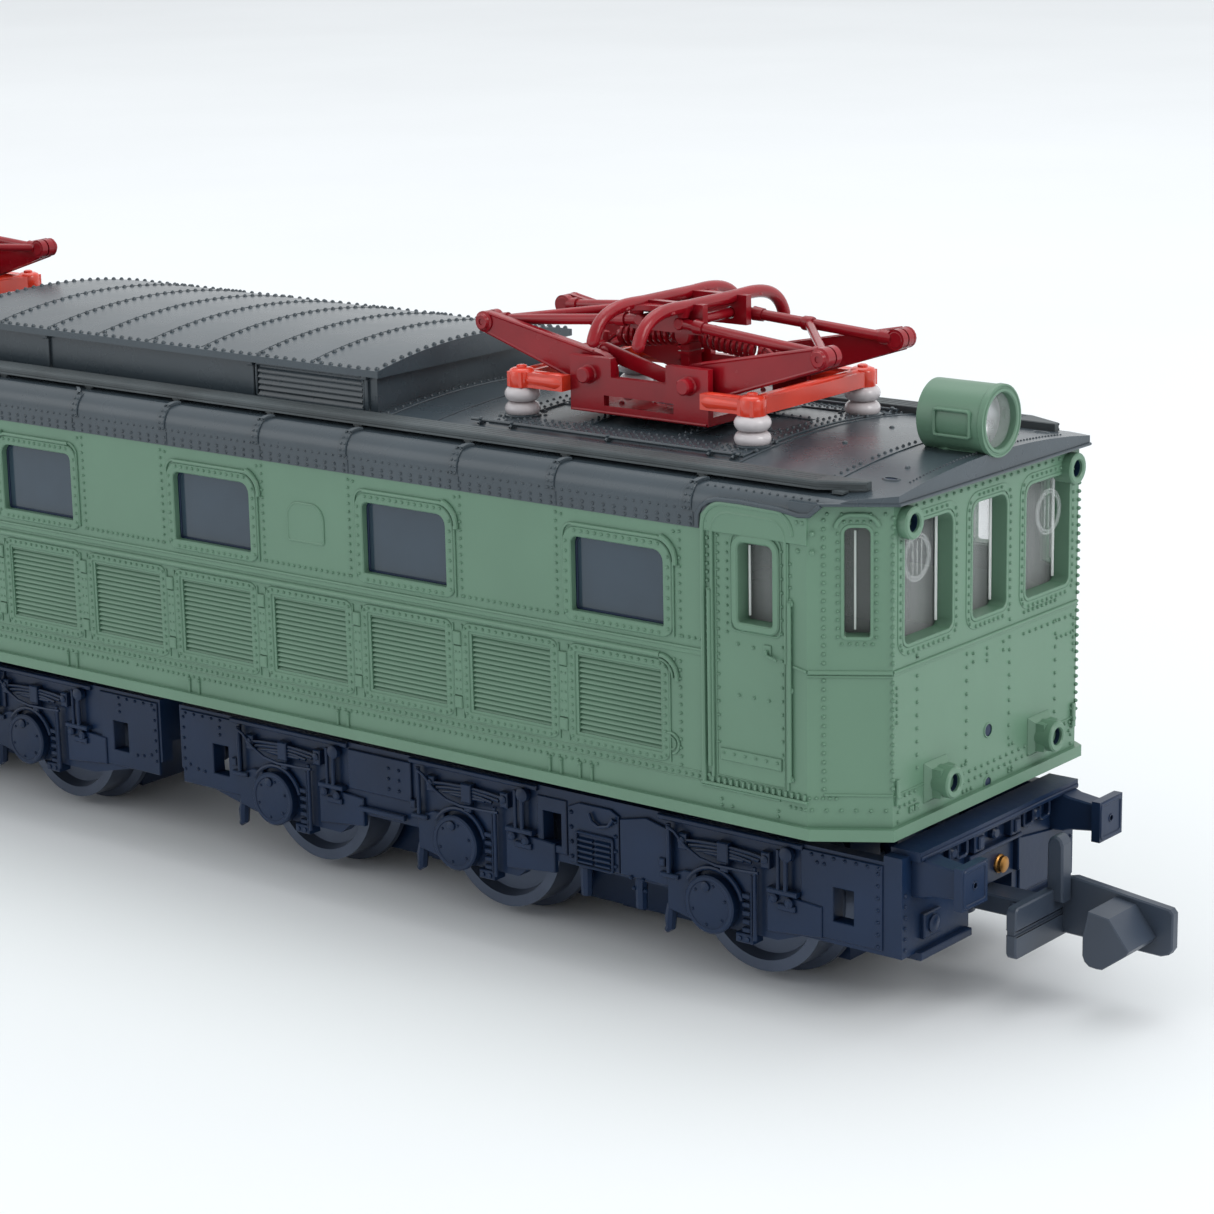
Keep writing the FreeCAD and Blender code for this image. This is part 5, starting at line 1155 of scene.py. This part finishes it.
@built
def headlight_trim(trim):
    """Side panel frames, front rim and round foot of a headlight."""
    for side in (-1, 1):
        flank = Plane((0, side * 1.5, 0), (-side, 0, 0), UP)
        box = (44.95, 26.56, 46.66, 27.6)
        if side > 0:
            box = (-46.66, 26.56, -44.95, 27.6)
        ring(trim, flank, box, 0.05, 0.15, -0.25, 0.25, 0.05)
    rim(trim, facing, 0, LAMP_Z, ((1.3, 47.1), (1.3, 47.4), (1.35, 47.46), (1.46, 47.46), (1.5, 47.41),
                                  (1.56, 47.41), (1.6, 47.46), (1.68, 47.44), (1.7,
                                                                               47.2), (1.62, 47.1)), 40)
    lathe(trim, (43.92, 0, LAMP_Z), (-1, 0, 0), [(-0.05, 1.62), (0.0, 1.58), (0.1, 1.42), (0.12, 0.3)], 40)
    for y in (-0.55, 0.55):
        lathe(trim, (45.05, y, 25.55), UP, [(0, 0.55), (0.12, 0.55), (0.16, 0.42), (0.5, 0.42)], 16)
    slab(trim, Plane((45.65, 0, 25.62), ALONG, ACROSS), -1.0, -0.95, 1.0, 0.95, 0.1, 0.04)


@built
def reflector(trim):
    """Bright dish behind the headlight's glass."""
    rim(trim, facing, 0, LAMP_Z, ((1.28, 46.55), (1.16, 46.2), (0.85, 45.95), (0.3, 45.86), (0.3, 45.82),
                                  (0.9, 45.9), (1.22, 46.15), (1.29, 46.5)), 32)
    lathe(trim, (45.82, 0, LAMP_Z), ALONG,
          [(0, 0.32), (0.12, 0.32), (0.2, 0.24), (0.45, 0.22), (0.6, 0.08)], 16)


cornice_trim().four().piece("cornice_trim", ROOF, "roof_grey")
door_heads().four().piece("door_heads", GREEN, "body_green")
eave_trim().four().piece("eave_trim", ROOF, "roof_grey")
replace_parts(walkway().two().piece("walkways", PLANK, "roof_grey"), "walkway_left", "walkway_right")
hatch().both_ends().piece("roof_hatches", ROOF, "roof_grey")
deck_seams().both_ends().piece("deck_seams", ROOF, "roof_grey")
vent_shade().both_ends().piece("vent_shade", BLACK, "underframe_black")
clerestory_trim().piece("clerestory_trim", ROOF, "roof_grey")
headlight_trim().both_ends().piece("headlight_trim", GREEN, "body_green")
reflector().both_ends().piece("reflectors", STEEL, "plain_steel")


# ------------------------------------------------------------------ bogies
AXLES = (9.6, 22.3, 38.2)
BOGIE_Y = 7.5
BEAM_X = 47.1
BUFFER_Y, BUFFER_Z = 6.03, 7.15
# x, sill height and border widths (left, below, right, above) of the slots in a side frame
SLOTS = ((3.85, 4.5, (2.35, 0.9, 0.95, 1.55)), (26.7, 5.0, (0.35, 0.4, 0.35, 0.75)),
         (43.95, 4.5, (1.8, 0.9, 1.55, 1.55)))


def flank_of(x, side):
    """The outer face of a side frame; a runs forward on -Y and backward on +Y."""
    return Plane((x, side * BOGIE_Y, 0), (-side, 0, 0), UP)


def surround(build, plane, a0, b0, a1, b1, widths, high, bevel=0.04):
    """A square-cornered raised sheet round an opening."""
    left, below, right, above = widths

    def loop(a_low, b_low, a_high, b_high, c):
        return [plane.at(a, b, c) for a, b in ((a_low, b_low), (a_high, b_low), (a_high, b_high),
                                               (a_low, b_high))]

    o = (a0 - left, b0 - below, a1 + right, b1 + above)
    build.torus([loop(*o, -0.1), loop(*o, high - bevel),
                 loop(o[0] + bevel, o[1] + bevel, o[2] - bevel, o[3] - bevel, high),
                 loop(a0 - bevel, b0 - bevel, a1 + bevel, b1 + bevel, high),
                 loop(a0, b0, a1, b1, high - bevel), loop(a0, b0, a1, b1, -0.1)])


def axle_gear(build, flank):
    """Axlebox cover, guard, hangers, spring and brake rigging round one axle."""
    cover = -1.6
    boss(build, flank, cover, 4.05, 0.42, [(0, 1.44), (0.1, 1.44), (0.17, 1.36), (0.17, 1.2),
                                           (0.13, 1.16), (0.16, 0.9), (0.18, 0.3)], 32)
    for turn in (20, 75, 140, 200, 262, 320):
        t = math.radians(turn)
        stud(build, flank, cover + 1.0 * math.cos(t), 4.05 + 1.0 * math.sin(t), 0.085, 0.55)
    boss(build, flank, cover - 0.15, 4.95, 0.5, [(0, 0.24), (0.16, 0.24), (0.2, 0.17)], 12)
    # arch over the cover and the deep well beside it
    rail(build, flank, arc(cover, 4.05, 1.72, 150, 15, 10), 0.13, 0.16)
    plate(build, flank, [(-4.3, 3.25), (cover - 1.1, 2.95), (cover - 0.9, 5.35), (-3.3, 5.35), (-4.3, 4.9)],
          -0.1, 0.24, 0.05)
    for k in range(5):
        b = 2.95 + 0.42 * k
        slab(build, flank, 0.08, b, 0.56, b + 0.24, 0.22, 0.04, -0.1)
    tube(build, [flank.at(0.95, 2.75, 0.36), flank.at(0.95, 6.35, 0.36)], 0.1)
    tube(build, [flank.at(0.7, 2.95, 0.28), flank.at(0.7, 5.9, 0.28)], 0.06)
    slab(build, flank, -0.25, 2.46, 0.75, 2.92, 0.3, 0.05, -0.55)
    for a in (0.02, 0.48):
        boss(build, flank, a, 2.68, 0.28, [(0, 0.12), (0.08, 0.12), (0.1, 0.05)], 8)
    plate(build, flank, [(1.5, 3.3), (4.6, 3.6), (4.6, 5.1), (1.5, 5.35)], -0.1, 0.2, 0.05)
    # leaf spring with its buckle and shackles
    for k in range(4):
        span = 2.5 - 0.45 * k
        line = [flank.at(-0.9 + span * t, 7.02 - 0.17 * k - 0.16 * t * t * (1 if k < 3 else 0), 0.26)
                for t in (-1, -0.6, -0.2, 0.2, 0.6, 1)]
        tube(build, line, 0.085, 6)
    slab(build, flank, -1.22, 6.26, -0.58, 7.24, 0.44, 0.05, -0.1)
    slab(build, flank, -1.12, 5.75, -0.68, 6.28, 0.34, 0.05, -0.1)
    for a in (-3.32, 1.52):
        slab(build, flank, a - 0.24, 6.42, a + 0.24, 7.22, 0.36, 0.05, -0.1)
        boss(build, flank, a, 6.86, 0.3, [(0, 0.2), (0.12, 0.2), (0.17, 0.12)], 10)
    # curved pipe across the gear
    pipe = [(-4.15, 7.45), (-3.7, 7.25), (-3.0, 6.62), (-2.2, 6.22), (-1.2, 6.05), (0.2, 6.08), (1.2, 6.14)]
    tube(build, [flank.at(a, b, 0.42) for a, b in pipe], 0.08)
    # hangers on both sides
    for a, radius in ((2.28, 0.1), (2.7, 0.12)):
        tube(build, [flank.at(a, 5.5, 0.34), flank.at(a, 7.5, 0.34)], radius)
    boss(build, flank, 2.72, 7.32, 0.12, [(0, 0.36), (0.28, 0.36), (0.36, 0.24)], 14)
    slab(build, flank, 1.65, 5.32, 3.35, 5.58, 0.46, 0.05, -0.1)
    for a, b in ((1.98, 5.08), (2.86, 4.98)):
        boss(build, flank, a, b, -0.05, [(0, 0.24), (0.42, 0.24), (0.5, 0.14)], 12)
    slab(build, flank, 2.2, 4.55, 3.2, 4.85, 0.36, 0.05, -0.1)
    tube(build, [flank.at(-4.12, 5.1, 0.32), flank.at(-4.12, 7.55, 0.32)], 0.12)
    slab(build, flank, -4.62, 4.85, -3.55, 5.08, 0.42, 0.05, -0.1)
    slab(build, flank, -4.75, 5.3, -4.42, 5.72, 0.32, 0.05, -0.1)
    # brake hook below the frame
    hook = [(-3.85, 3.4), (-4.25, 3.3), (-4.35, 2.8), (-4.38, 2.2), (-4.62, 1.98)]
    tube(build, [flank.at(a, b, -0.1) for a, b in hook], [0.22, 0.3, 0.3, 0.26, 0.14], 8)
    slab(build, flank, -3.9, 3.08, -3.0, 3.3, 0.12, 0.05, -0.45)
    # flange along the frame top
    slab(build, flank, -4.9, 7.62, 3.5, 7.88, 0.2, 0.05, -0.1)


def frame_plates(build, side):
    """Riveted plates of a side frame between the axles, and its ventilator."""
    flank = flank_of(0, side)
    sign = -side

    def span(x0, x1):
        return sorted((sign * x0, sign * x1))

    for x, sill, widths in SLOTS:
        a0, a1 = span(x - 0.57, x + 0.57)
        left, below, right, above = widths if sign > 0 else (widths[2], widths[1], widths[0], widths[3])
        surround(build, flank, a0, sill + 0.03, a1, sill + 1.67, (left, below, right, above), 0.1)
    for x0, x1 in ((1.3, 3.9), (42.2, 45.9)):
        for x in spread(x0, x1, 0.62):
            stud(build, flank, sign * x, 7.55, 0.095, 0.09)
    for x in (1.12, 45.85):
        for b in spread(4.4 if x < 2 else 3.8, 7.3, 0.62):
            stud(build, flank, sign * x, b, 0.095, 0.09)
    for x, b in ((3.85, 7.15), (3.85, 6.75), (1.5, 4.7), (2.1, 4.55), (2.6, 4.5), (42.5, 7.2), (42.9, 7.2)):
        stud(build, flank, sign * x, b, 0.1, 0.09)
    # plain plate with two columns of bolts between the first two axles
    a0, a1 = span(13.2, 17.5)
    plate(build, flank, [(a0, 5.5), (a1, 5.5), (a1, 7.6), (a0, 7.6)], -0.1, 0.16, 0.04)
    for x in (16.0, 16.7):
        for b in (5.95, 6.5, 7.05):
            stud(build, flank, sign * x, b, 0.1, 0.15)
    # peaked plate between the last two axles
    middle = sign * 32.6
    low, high = span(31.0, 34.1)
    plate(build, flank, [(low, 4.35), (high, 4.35), (high, 7.15), (middle, 7.5), (low, 7.15)],
          -0.1, 0.18, 0.04)
    # box with a lower lip between the first two axles
    a0, a1 = span(14.0, 17.1)
    slab(build, flank, a0, 4.45, a1, 4.72, 0.34, 0.05, 0.1)
    # ventilator on a plate with bolts down both edges
    a0, a1 = span(27.75, 30.9)
    plate(build, flank, [(a0, 4.35), (a1, 4.35), (a1, 7.25), (a1 - 0.5, 7.5), (a0 + 0.7, 7.5), (a0, 7.2)],
          -0.1, 0.14, 0.04)
    a0, a1 = span(28.4, 30.5)
    ring(build, flank, (a0, 4.42, a1, 5.98), 0.05, 0.14, -0.1, 0.3, 0.05, 2)
    for k in range(5):
        b = 4.62 + 0.28 * k
        for c0, c1 in ((a0 + 0.05, (a0 + a1) / 2 - 0.08), ((a0 + a1) / 2 + 0.08, a1 - 0.05)):
            slat(build, flank, c0, c1, ((0.08, b - 0.09), (0.3, b - 0.1), (0.3, b - 0.02), (0.08, b + 0.1)))
    for x in (27.98, 30.72):
        for b in (4.7, 5.45, 6.2, 6.95):
            stud(build, flank, sign * x, b, 0.12, 0.13, 0.1)
    for x in (31.7, 32.4):
        for b in (3.75, 4.35):
            stud(build, flank, sign * x, b, 0.11, 0.0 if b < 4.2 else 0.21, 0.1)
    # hanging lugs between the axles
    for x in (28.6, 32.0):
        tube(build, [flank.at(sign * x, 4.5, -0.2), flank.at(sign * x, 2.75, -0.2)], [0.32, 0.28], 8)
    sand_pipe = ((29.2, 7.15), (29.4, 6.75), (29.8, 6.55), (30.4, 6.7), (30.7, 7.1))
    tube(build, [flank.at(sign * x, b, 0.3) for x, b in sand_pipe], 0.09)


@built
def bogie_sides(trim):
    for side in (-1, 1):
        frame_plates(trim, side)
        for x in AXLES:
            axle_gear(trim, flank_of(x, side))


@built
def beam_front(trim):
    """Sockets, lips and bolts on a buffer beam."""
    face = Plane((BEAM_X, 0, 0), ACROSS, UP)
    deck = Plane((47.7, 0, 0), ACROSS, UP)
    for y in (-4.4, -2.9, 2.9, 4.4):
        ring(trim, face, (y - 0.34, 7.2, y + 0.34, 7.86), 0.12, 0.16, -0.05,
             0.32, 0.05, 3)
    for y in (-1.6, 1.6):
        slab(trim, face, y - 0.42, 7.05, y + 0.42, 7.95, 0.42, 0.06)
        slab(trim, face, y - 0.22, 7.2, y + 0.22, 7.8, 0.55, 0.06, 0.3)
    for y in (-3.65, 0.0, 3.65):
        boss(trim, face, y, 7.5, -0.05, [(0, 0.3), (0.3, 0.3), (0.4, 0.2)], 14)
    slab(trim, deck, -6.85, 8.06, 6.85, 8.24, 0.08, 0.04)
    for side in (-1, 1):
        rivet_row(trim, face, side * 7.25, 3.8, side * 7.25, 6.4, 0.55, 0.1)
        brick(trim, (46.2, min(side * 2.1, side * 6.4), 3.08),
              (47.45, max(side * 2.1, side * 6.4), 3.45), 0.05)
    # drain cock under one buffer, plain cover under the other
    slab(trim, face, -6.0, 4.0, -4.6, 5.2, 0.25, 0.06)
    boss(trim, face, -5.3, 4.6, 0.2, [(0, 0.42), (0.14, 0.42), (0.2, 0.3)], 18)
    plate(trim, face, [(2.4, 3.8), (5.6, 3.8), (6.4, 4.6), (6.4, 6.1), (2.4, 6.6)], -0.05, 0.12, 0.04)
    # lips round the coupler opening
    slab(trim, face, -2.3, 6.75, 2.3, 6.95, 0.35)
    for side in (-1, 1):
        slab(trim, face, side * 2.15 - 0.14, 5.1, side * 2.15 + 0.14, 6.75, 0.3)


@built
def spring_end(trim):
    """Brass spring end in the opening over the coupler."""
    lathe(trim, (46.9, 0.75, 5.75), ALONG,
          [(0, 0.46), (0.28, 0.46), (0.34, 0.4), (0.5, 0.4), (0.58, 0.28)], 18)


@built
def buffer_details(trim):
    """Tapered bars behind the buffer heads, a raised border and a hole on each face."""
    for side in (-1, 1):
        y = side * BUFFER_Y
        loops = []
        for x, half, tall in ((47.0, 0.7, 0.98), (47.75, 0.66, 0.93), (48.1, 0.6, 0.82),
                              (49.75, 0.53, 0.63)):
            loops.append([Vector((x, y + u * half, BUFFER_Z + v * tall))
                          for u, v in ((-1, -0.9), (-0.85, -1), (0.85, -1), (1, -0.9),
                                       (1, 0.9), (0.85, 1), (-0.85, 1), (-1, 0.9))])
        trim.loft(loops)
        face = Plane((50.04, y, BUFFER_Z), ACROSS, UP)
        ring(trim, face, (-0.8, -0.75, 0.8, 0.75), 0.1, 0.2, -0.2, 0.05, 0.04, 3)
        ring(trim, face, (-0.13, -0.13, 0.13, 0.13), 0.12, 0.08, -0.05, 0.04, 0.02, 4)


@built
def coupler_shape(trim):
    """Hook coupler with softened edges: cross plate, side arm, hook and lift post."""
    lathe(trim, (45.3, 0, 3.85), UP, [(0, 1.0), (0.05, 1.05), (0.85, 1.05), (0.9, 1.0)], 24)
    plate(trim, FLAT, [(45.3, -0.8), (49.9, -0.8), (49.9, 0.8), (45.3, 0.8)], 3.85, 4.75, 0.08, True)
    plate(trim, FLAT, [(48.7, -0.85), (49.9, -1.9), (49.9, 1.6), (48.7, 0.85)], 4.0, 4.6, 0.06, True)
    cross = Plane((49.8, 0, 0), ACROSS, UP)
    upper = rounded(-3.0, 4.05, 1.75, 5.2, (0.02, 0.02, 0.1, 0.28), 4)
    lower = rounded(-3.0, 2.7, 1.75, 3.85, (0.28, 0.1, 0.02, 0.02), 4)
    many(plate, (trim, cross), (upper, 0, 0.55, 0.07, True), (lower, 0, 0.55, 0.07, True),
         ([(-2.95, 3.8), (1.7, 3.8), (1.7, 4.1), (-2.95, 4.1)], 0.03, 0.45, 0.03, True))
    arm = Plane((0, 1.75, 0), ALONG, UP)
    outline = [(50.2, 2.85), (55.5, 2.75), (55.9, 2.9), (56.1, 3.2), (56.1, 4.9), (55.92, 5.1),
               (50.9, 5.68), (50.2, 5.5)]
    plate(trim, arm, outline, 0.0, 0.55, 0.07, True)
    hook = Plane((0, 1.3, 0), ALONG, UP)
    body = [(52.86, 3.0), (52.98, 2.72), (53.22, 2.54), (53.6, 2.5), (53.9, 2.52), (55.08, 3.4),
            (55.27, 3.68), (54.2, 5.04), (53.12, 5.18), (52.86, 4.0)]
    plate(trim, hook, body, 0.0, 2.65, 0.05, True)
    post = Plane((0, 1.2, 0), ALONG, UP)
    outline = [(49.92, 4.6), (50.8, 4.6), (50.76, 7.4)] + arc(50.35, 7.42, 0.38, 0, 180, 6) + [(49.94, 7.4)]
    plate(trim, post, outline, 0.0, 0.85, 0.09, True)


for end, sign in END_SIGNS.items():
    bogie = end + "_bogie"
    bogie_sides().at_end(sign).piece("bogie_sides_" + end, BLACK, "underframe_black", bogie)
    beam_front().at_end(sign).piece("beam_fittings_" + end, BLACK, "underframe_black", bogie)
    spring_end().at_end(sign).piece("beam_spring_" + end, BRASS, "brass", bogie)
    buffer_details().at_end(sign).piece("buffer_rings_" + end, BLACK, "underframe_black", bogie)
    hook = coupler_shape().at_end(sign).piece("coupler_hook_" + end, COUPLER_LIT, "underframe_black",
                                              "coupler_" + end)
    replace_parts(hook, "coupler_" + end)


# ------------------------------------------------------------------ pantographs
CENTRE = 29.85
INSULATORS = [(x, y) for x in (-6.94, 6.94) for y in (-4.51, 4.51)]
PIVOT, KNEE, HEAD_PIN = (3.0, 27.9), (10.1, 29.75), (1.2, 30.45)


def from_centre(x, y, z):
    return Vector((CENTRE + x, y, z))


def hub(build, x, z, side, start, profile, segments=18):
    """A turned boss at (x, z), growing outwards from y = side * start."""
    lathe(build, from_centre(x, side * start, z), (0, side, 0), profile, segments)


@built
def base_fittings(trim):
    """Pivot bosses, rolled edges and bolts of a pantograph base."""
    for side in (-1, 1):
        for x in (-3.0, 3.0):
            hub(trim, x, 27.9, side, 4.15, [(0, 0.48), (0.07, 0.48), (0.12, 0.4), (0.5, 0.4), (0.58, 0.32)])
            hub(trim, x, 27.9, side, 3.6, [(0, 0.5), (0.25, 0.5)])
        wall = Plane((CENTRE, side * 4.2, 0), (-side, 0, 0), UP)
        rail(trim, wall, [(-4.05, 26.12), (4.05, 26.12)], 0.07, 0.0, 6)
    # floor: rim of the oval opening and bolt heads
    trim.torus([oval(from_centre, 0.4, -1.9, 1.0 + grow, 0.6 + grow, z, 24)
                for grow, z in ((0.0, 26.44), (0.0, 26.5), (0.12, 26.52), (0.22, 26.44))])
    for x in (-3.4, -1.7, 1.9, 3.4):
        for y in (-3.3, 3.3):
            rivet(trim, from_centre(x, y, 26.45), UP, 0.14, 0.1)
    # short link from one lower pivot to the other, seen between the base plates
    link = Plane((CENTRE, -2.55, 0), ALONG, UP)
    outline = arc(-3.22, 28.72, 0.46, 70, 215, 8) + arc(2.4, 27.35, 0.34, 240, 420, 8)
    plate(trim, link, outline, -0.12, 0.12, 0.04, True)
    boss(trim, link, -3.22, 28.72, 0.05, [(0, 0.3), (0.12, 0.3), (0.16, 0.22)], 14)
    boss(trim, link, 2.4, 27.35, 0.05, [(0, 0.3), (0.16, 0.3), (0.2, 0.2)], 14)
    # cross shafts between the side plates
    for x, z in ((-1.1, 26.95), (1.3, 27.0)):
        tube(trim, [from_centre(x, -3.7, z), from_centre(x, 3.7, z)], 0.24, 10)
    tube(trim, [from_centre(-1.1, -1.2, 26.95), from_centre(0.0, -1.3, 27.7),
                from_centre(1.3, -1.2, 27.0)], 0.18, 8)
    # post head that holds both springs
    trim.loft([[from_centre(x, y, z) for x,
                y in ((-0.34, -0.62), (0.34, -0.62), (0.34, 0.62), (-0.34, 0.62))]
               for z in (28.6, 28.75)])
    lathe(trim, from_centre(0, -0.75, 29.55), ACROSS, [(0, 0.42), (0.1, 0.5), (1.4, 0.5), (1.5, 0.42)], 16)


@built
def opening_shade(trim):
    """Painted shade: black floor of the oval opening in a pantograph base, standing for the shade inside
    it.
    """
    trim.loft([oval(from_centre, 0.4, -1.9, 1.0, 0.6, z, 24) for z in (26.42, 26.47)])


@built
def frame_fittings(trim):
    """Caps over the insulators and rounded bar ends."""
    for x in (-6.94, 6.94):
        for y in (-4.51, 4.51):
            lathe(trim, from_centre(x, y, 26.9), UP, [(0, 0.6), (0.15, 0.66), (0.8, 0.66), (0.93, 0.58),
                                                             (1.0, 0.42)], 16)
            lathe(trim, from_centre(x, y, 27.88), UP, [(0, 0.26), (0.12, 0.26), (0.16, 0.16)], 10)
            inner = 1 if x < 0 else -1
            tube(trim, [from_centre(x + inner * t, y, 27.375) for t in (0.3, 1.7, 2.35, 2.72)],
                 [0.4, 0.42, 0.46, 0.36], 12)
        sign = 1 if x > 0 else -1
        tube(trim, [from_centre(x + sign * 0.04, y, 27.72) for y in (-4.4, 4.4)], 0.14, 8)


@built
def insulator_feet(trim):
    """Flanges and bolts under the insulators."""
    for x, y in INSULATORS:
        foot = DECK.at(CENTRE + x, y)
        lathe(trim, foot - Vector((0, 0, 0.1)), UP, [(0, 0.92), (0.2, 0.92), (0.28, 0.8), (0.34, 0.66)], 18)
        for turn in (45, 135, 225, 315):
            t = math.radians(turn)
            rivet(trim, DECK.at(CENTRE + x + 1.1 * math.cos(t), y + 1.1 * math.sin(t), 0.08),
                  DECK.n(y), 0.11, 0.08)


@built
def insulators(trim):
    """Insulators of two rounded ribs each, between the deck and the orange frame."""
    steps = 24
    for x, y in INSULATORS:
        foot = DECK.at(CENTRE + x, y)
        profile = []
        for k in range(steps + 1):
            rib = abs(math.sin(2 * math.pi * k / steps)) ** 0.5
            profile.append(((27.0 - foot.z) * k / steps, 0.56 + 0.32 * rib))
        lathe(trim, foot, UP, profile, 20)


@built
def lower_arm_trim(trim, side):
    """Edge folds, knee and pivot hubs of one pair of lower arm plates."""
    pivot, knee = Vector((side * PIVOT[0], PIVOT[1])), Vector((side * KNEE[0], KNEE[1]))
    way = (knee - pivot).normalized()
    up = Vector((-way.y, way.x))
    if up.y < 0:
        up = -up
    for wall in (-1, 1):
        for sign in (-1, 1):
            a = pivot + way * 0.5 + up * sign * 0.86
            b = knee - way * 0.1 + up * sign * 0.46
            tube(trim, [from_centre(a.x, wall * 3.48, a.y), from_centre(b.x, wall * 3.48, b.y)], 0.1, 8)
        hub(trim, knee.x, knee.y, wall, 3.5, [(0, 0.52), (0.12, 0.52), (0.18, 0.42), (0.24, 0.4)])
        rim(trim, lambda a, b, c: from_centre(a, wall * c, b), knee.x, knee.y,
            ((0.16, 3.7), (0.16, 3.8), (0.34, 3.82), (0.4, 3.72)), 16)
        hub(trim, pivot.x, pivot.y, wall, 3.5, [(0, 0.78), (0.12, 0.78), (0.18, 0.68)])
    middle = pivot + way * 2.42
    for wall in (-1, 1):
        hub(trim, middle.x, middle.y, wall, 2.75, [(0, 0.42), (0.32, 0.48)])
    # eye for the spring
    tube(trim, [from_centre(middle.x, 0, middle.y), from_centre(middle.x - side * 0.1, 0, 29.2)],
         [0.3, 0.18], 10)


@built
def upper_arm_trim(trim, side):
    """Sleeves at the knees and clamps at the head of one pair of upper rods."""
    for wall in (-1, 1):
        hub(trim, side * KNEE[0], KNEE[1], wall, 2.52, [(0, 0.36), (0.05, 0.42), (0.44, 0.42), (0.5, 0.36)])
        foot = Vector((side * KNEE[0], wall * 2.8, KNEE[1]))
        top = Vector((side * HEAD_PIN[0], wall * 2.3, HEAD_PIN[1]))
        for t0, t1 in ((0.03, 0.1), (0.84, 0.9)):
            a, b = foot.lerp(top, t0), foot.lerp(top, t1)
            tube(trim, [from_centre(*a), from_centre(*b)], [0.33, 0.36], 12)
        hub(trim, side * HEAD_PIN[0], HEAD_PIN[1], wall, 2.2,
            [(0, 0.24), (0.06, 0.3), (0.34, 0.3), (0.4, 0.24)])
    # clamp on one rod, a little past its middle; wall is 1 here
    a = foot.lerp(top, 0.55)
    lathe(trim, from_centre(a.x - side * 0.3, a.y - 0.05, a.z), (side, 0, 0),
          [(0, 0.32), (0.1, 0.36), (0.5, 0.36), (0.6, 0.32)], 12)


@built
def head_trim(trim):
    """Waisted plates between the collector strips and the hangers below them."""
    for wall in (-1, 1):
        y = wall * 2.35
        outline = [(-1.5, y - 0.95), (-0.7, y - 0.42), (0.0, y - 0.3), (0.7, y - 0.42), (1.5, y - 0.95),
                   (1.5, y + 0.95), (0.7, y + 0.42), (0.0, y + 0.3), (-0.7, y + 0.42), (-1.5, y + 0.95)]
        moved = [(CENTRE + a, b) for a, b in outline]
        loops = [[Vector((a, b, z)) for a, b in moved] for z in (30.98, 31.22)]
        trim.loft(loops)
        for sign in (-1, 1):
            x = sign * 1.35
            tube(trim, [from_centre(x, y, 31.2), from_centre(x, y, 30.75)], [0.42, 0.26], 10)
            tube(trim, [from_centre(x, wall * 3.5, 31.1), from_centre(x, wall * 3.5, 31.3)],
                 [0.36, 0.3], 10)
    for sign in (-1, 1):
        tube(trim, [from_centre(sign * 1.35, y, 31.46) for y in (-3.6, 0.0, 3.6)], [0.1, 0.1, 0.1], 6)


@built
def coil(trim, side):
    """One tension spring with its end loops, from the post to the arm's cross tube."""
    turns, radius = 11, 0.5
    points = [from_centre(side * 0.35, 0, 29.58)]
    for i in range(turns * 14 + 1):
        t = 2 * math.pi * i / 14
        along = 0.62 + 3.75 * i / (turns * 14)
        taper = min(1.0, 0.35 + 0.16 * i / 4, 0.35 + 0.16 * (turns * 14 - i) / 4)
        drop = -0.12 * (along - 0.6)
        points.append(from_centre(side * along, radius * taper * math.sin(t),
                                  29.55 + drop + radius * taper * math.cos(t)))
    points.append(from_centre(side * 4.75, 0, 29.02))
    points.append(from_centre(side * 5.15, 0, 28.75))
    tube(trim, points, 0.115, 6)


ribbed = insulators().both_ends().piece("insulators", PORCELAIN, "insulator_white")
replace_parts(ribbed, "pantograph_insulators")
for end, sign in END_SIGNS.items():
    base_fittings().at_end(sign).piece("pantograph_fittings_" + end, RED, "pantograph_red")
    opening_shade().at_end(sign).piece("shaded_opening_" + end, BLACK, "underframe_black")
    frame_fittings().at_end(sign).piece("frame_caps_" + end, ORANGE, "pantograph_orange")
    insulator_feet().at_end(sign).piece("insulator_feet_" + end, ROOF, "roof_grey")
    for side, word in ((1, "outer"), (-1, "inner")):
        arm = "lower_arm_%s_%s" % (word, end)
        lower_arm_trim(side).at_end(sign).piece(arm + "_folds", RED, "pantograph_red", arm)
        arm = "upper_arm_%s_%s" % (word, end)
        upper_arm_trim(side).at_end(sign).piece(arm + "_sleeves", RED, "pantograph_red", arm)
        spring = coil(side).at_end(sign).piece("spring_%s_%s" % (word, end), RED, "pantograph_red")
        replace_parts(spring, "pantograph_springs_" + end)
        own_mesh(spring)
    head = "collector_head_" + end
    head_trim().at_end(sign).piece(head + "_plates", RED, "pantograph_red", head)

# softened edges on the boxy mouldings
for node_name, width in (("pantograph_base_front", 0.1), ("pantograph_base_rear", 0.1),
                         ("pantograph_frame_front", 0.12), ("pantograph_frame_rear", 0.12),
                         ("buffers_front", 0.07), ("buffers_rear", 0.07),
                         ("bogie_frame_front", 0.06), ("bogie_frame_rear", 0.06)):
    soften = frame["nodes"][node_name].modifiers.new("soften", "BEVEL")
    soften.width = width * MM
    soften.segments = 2
    soften.limit_method = "ANGLE"
    soften.angle_limit = math.radians(50)
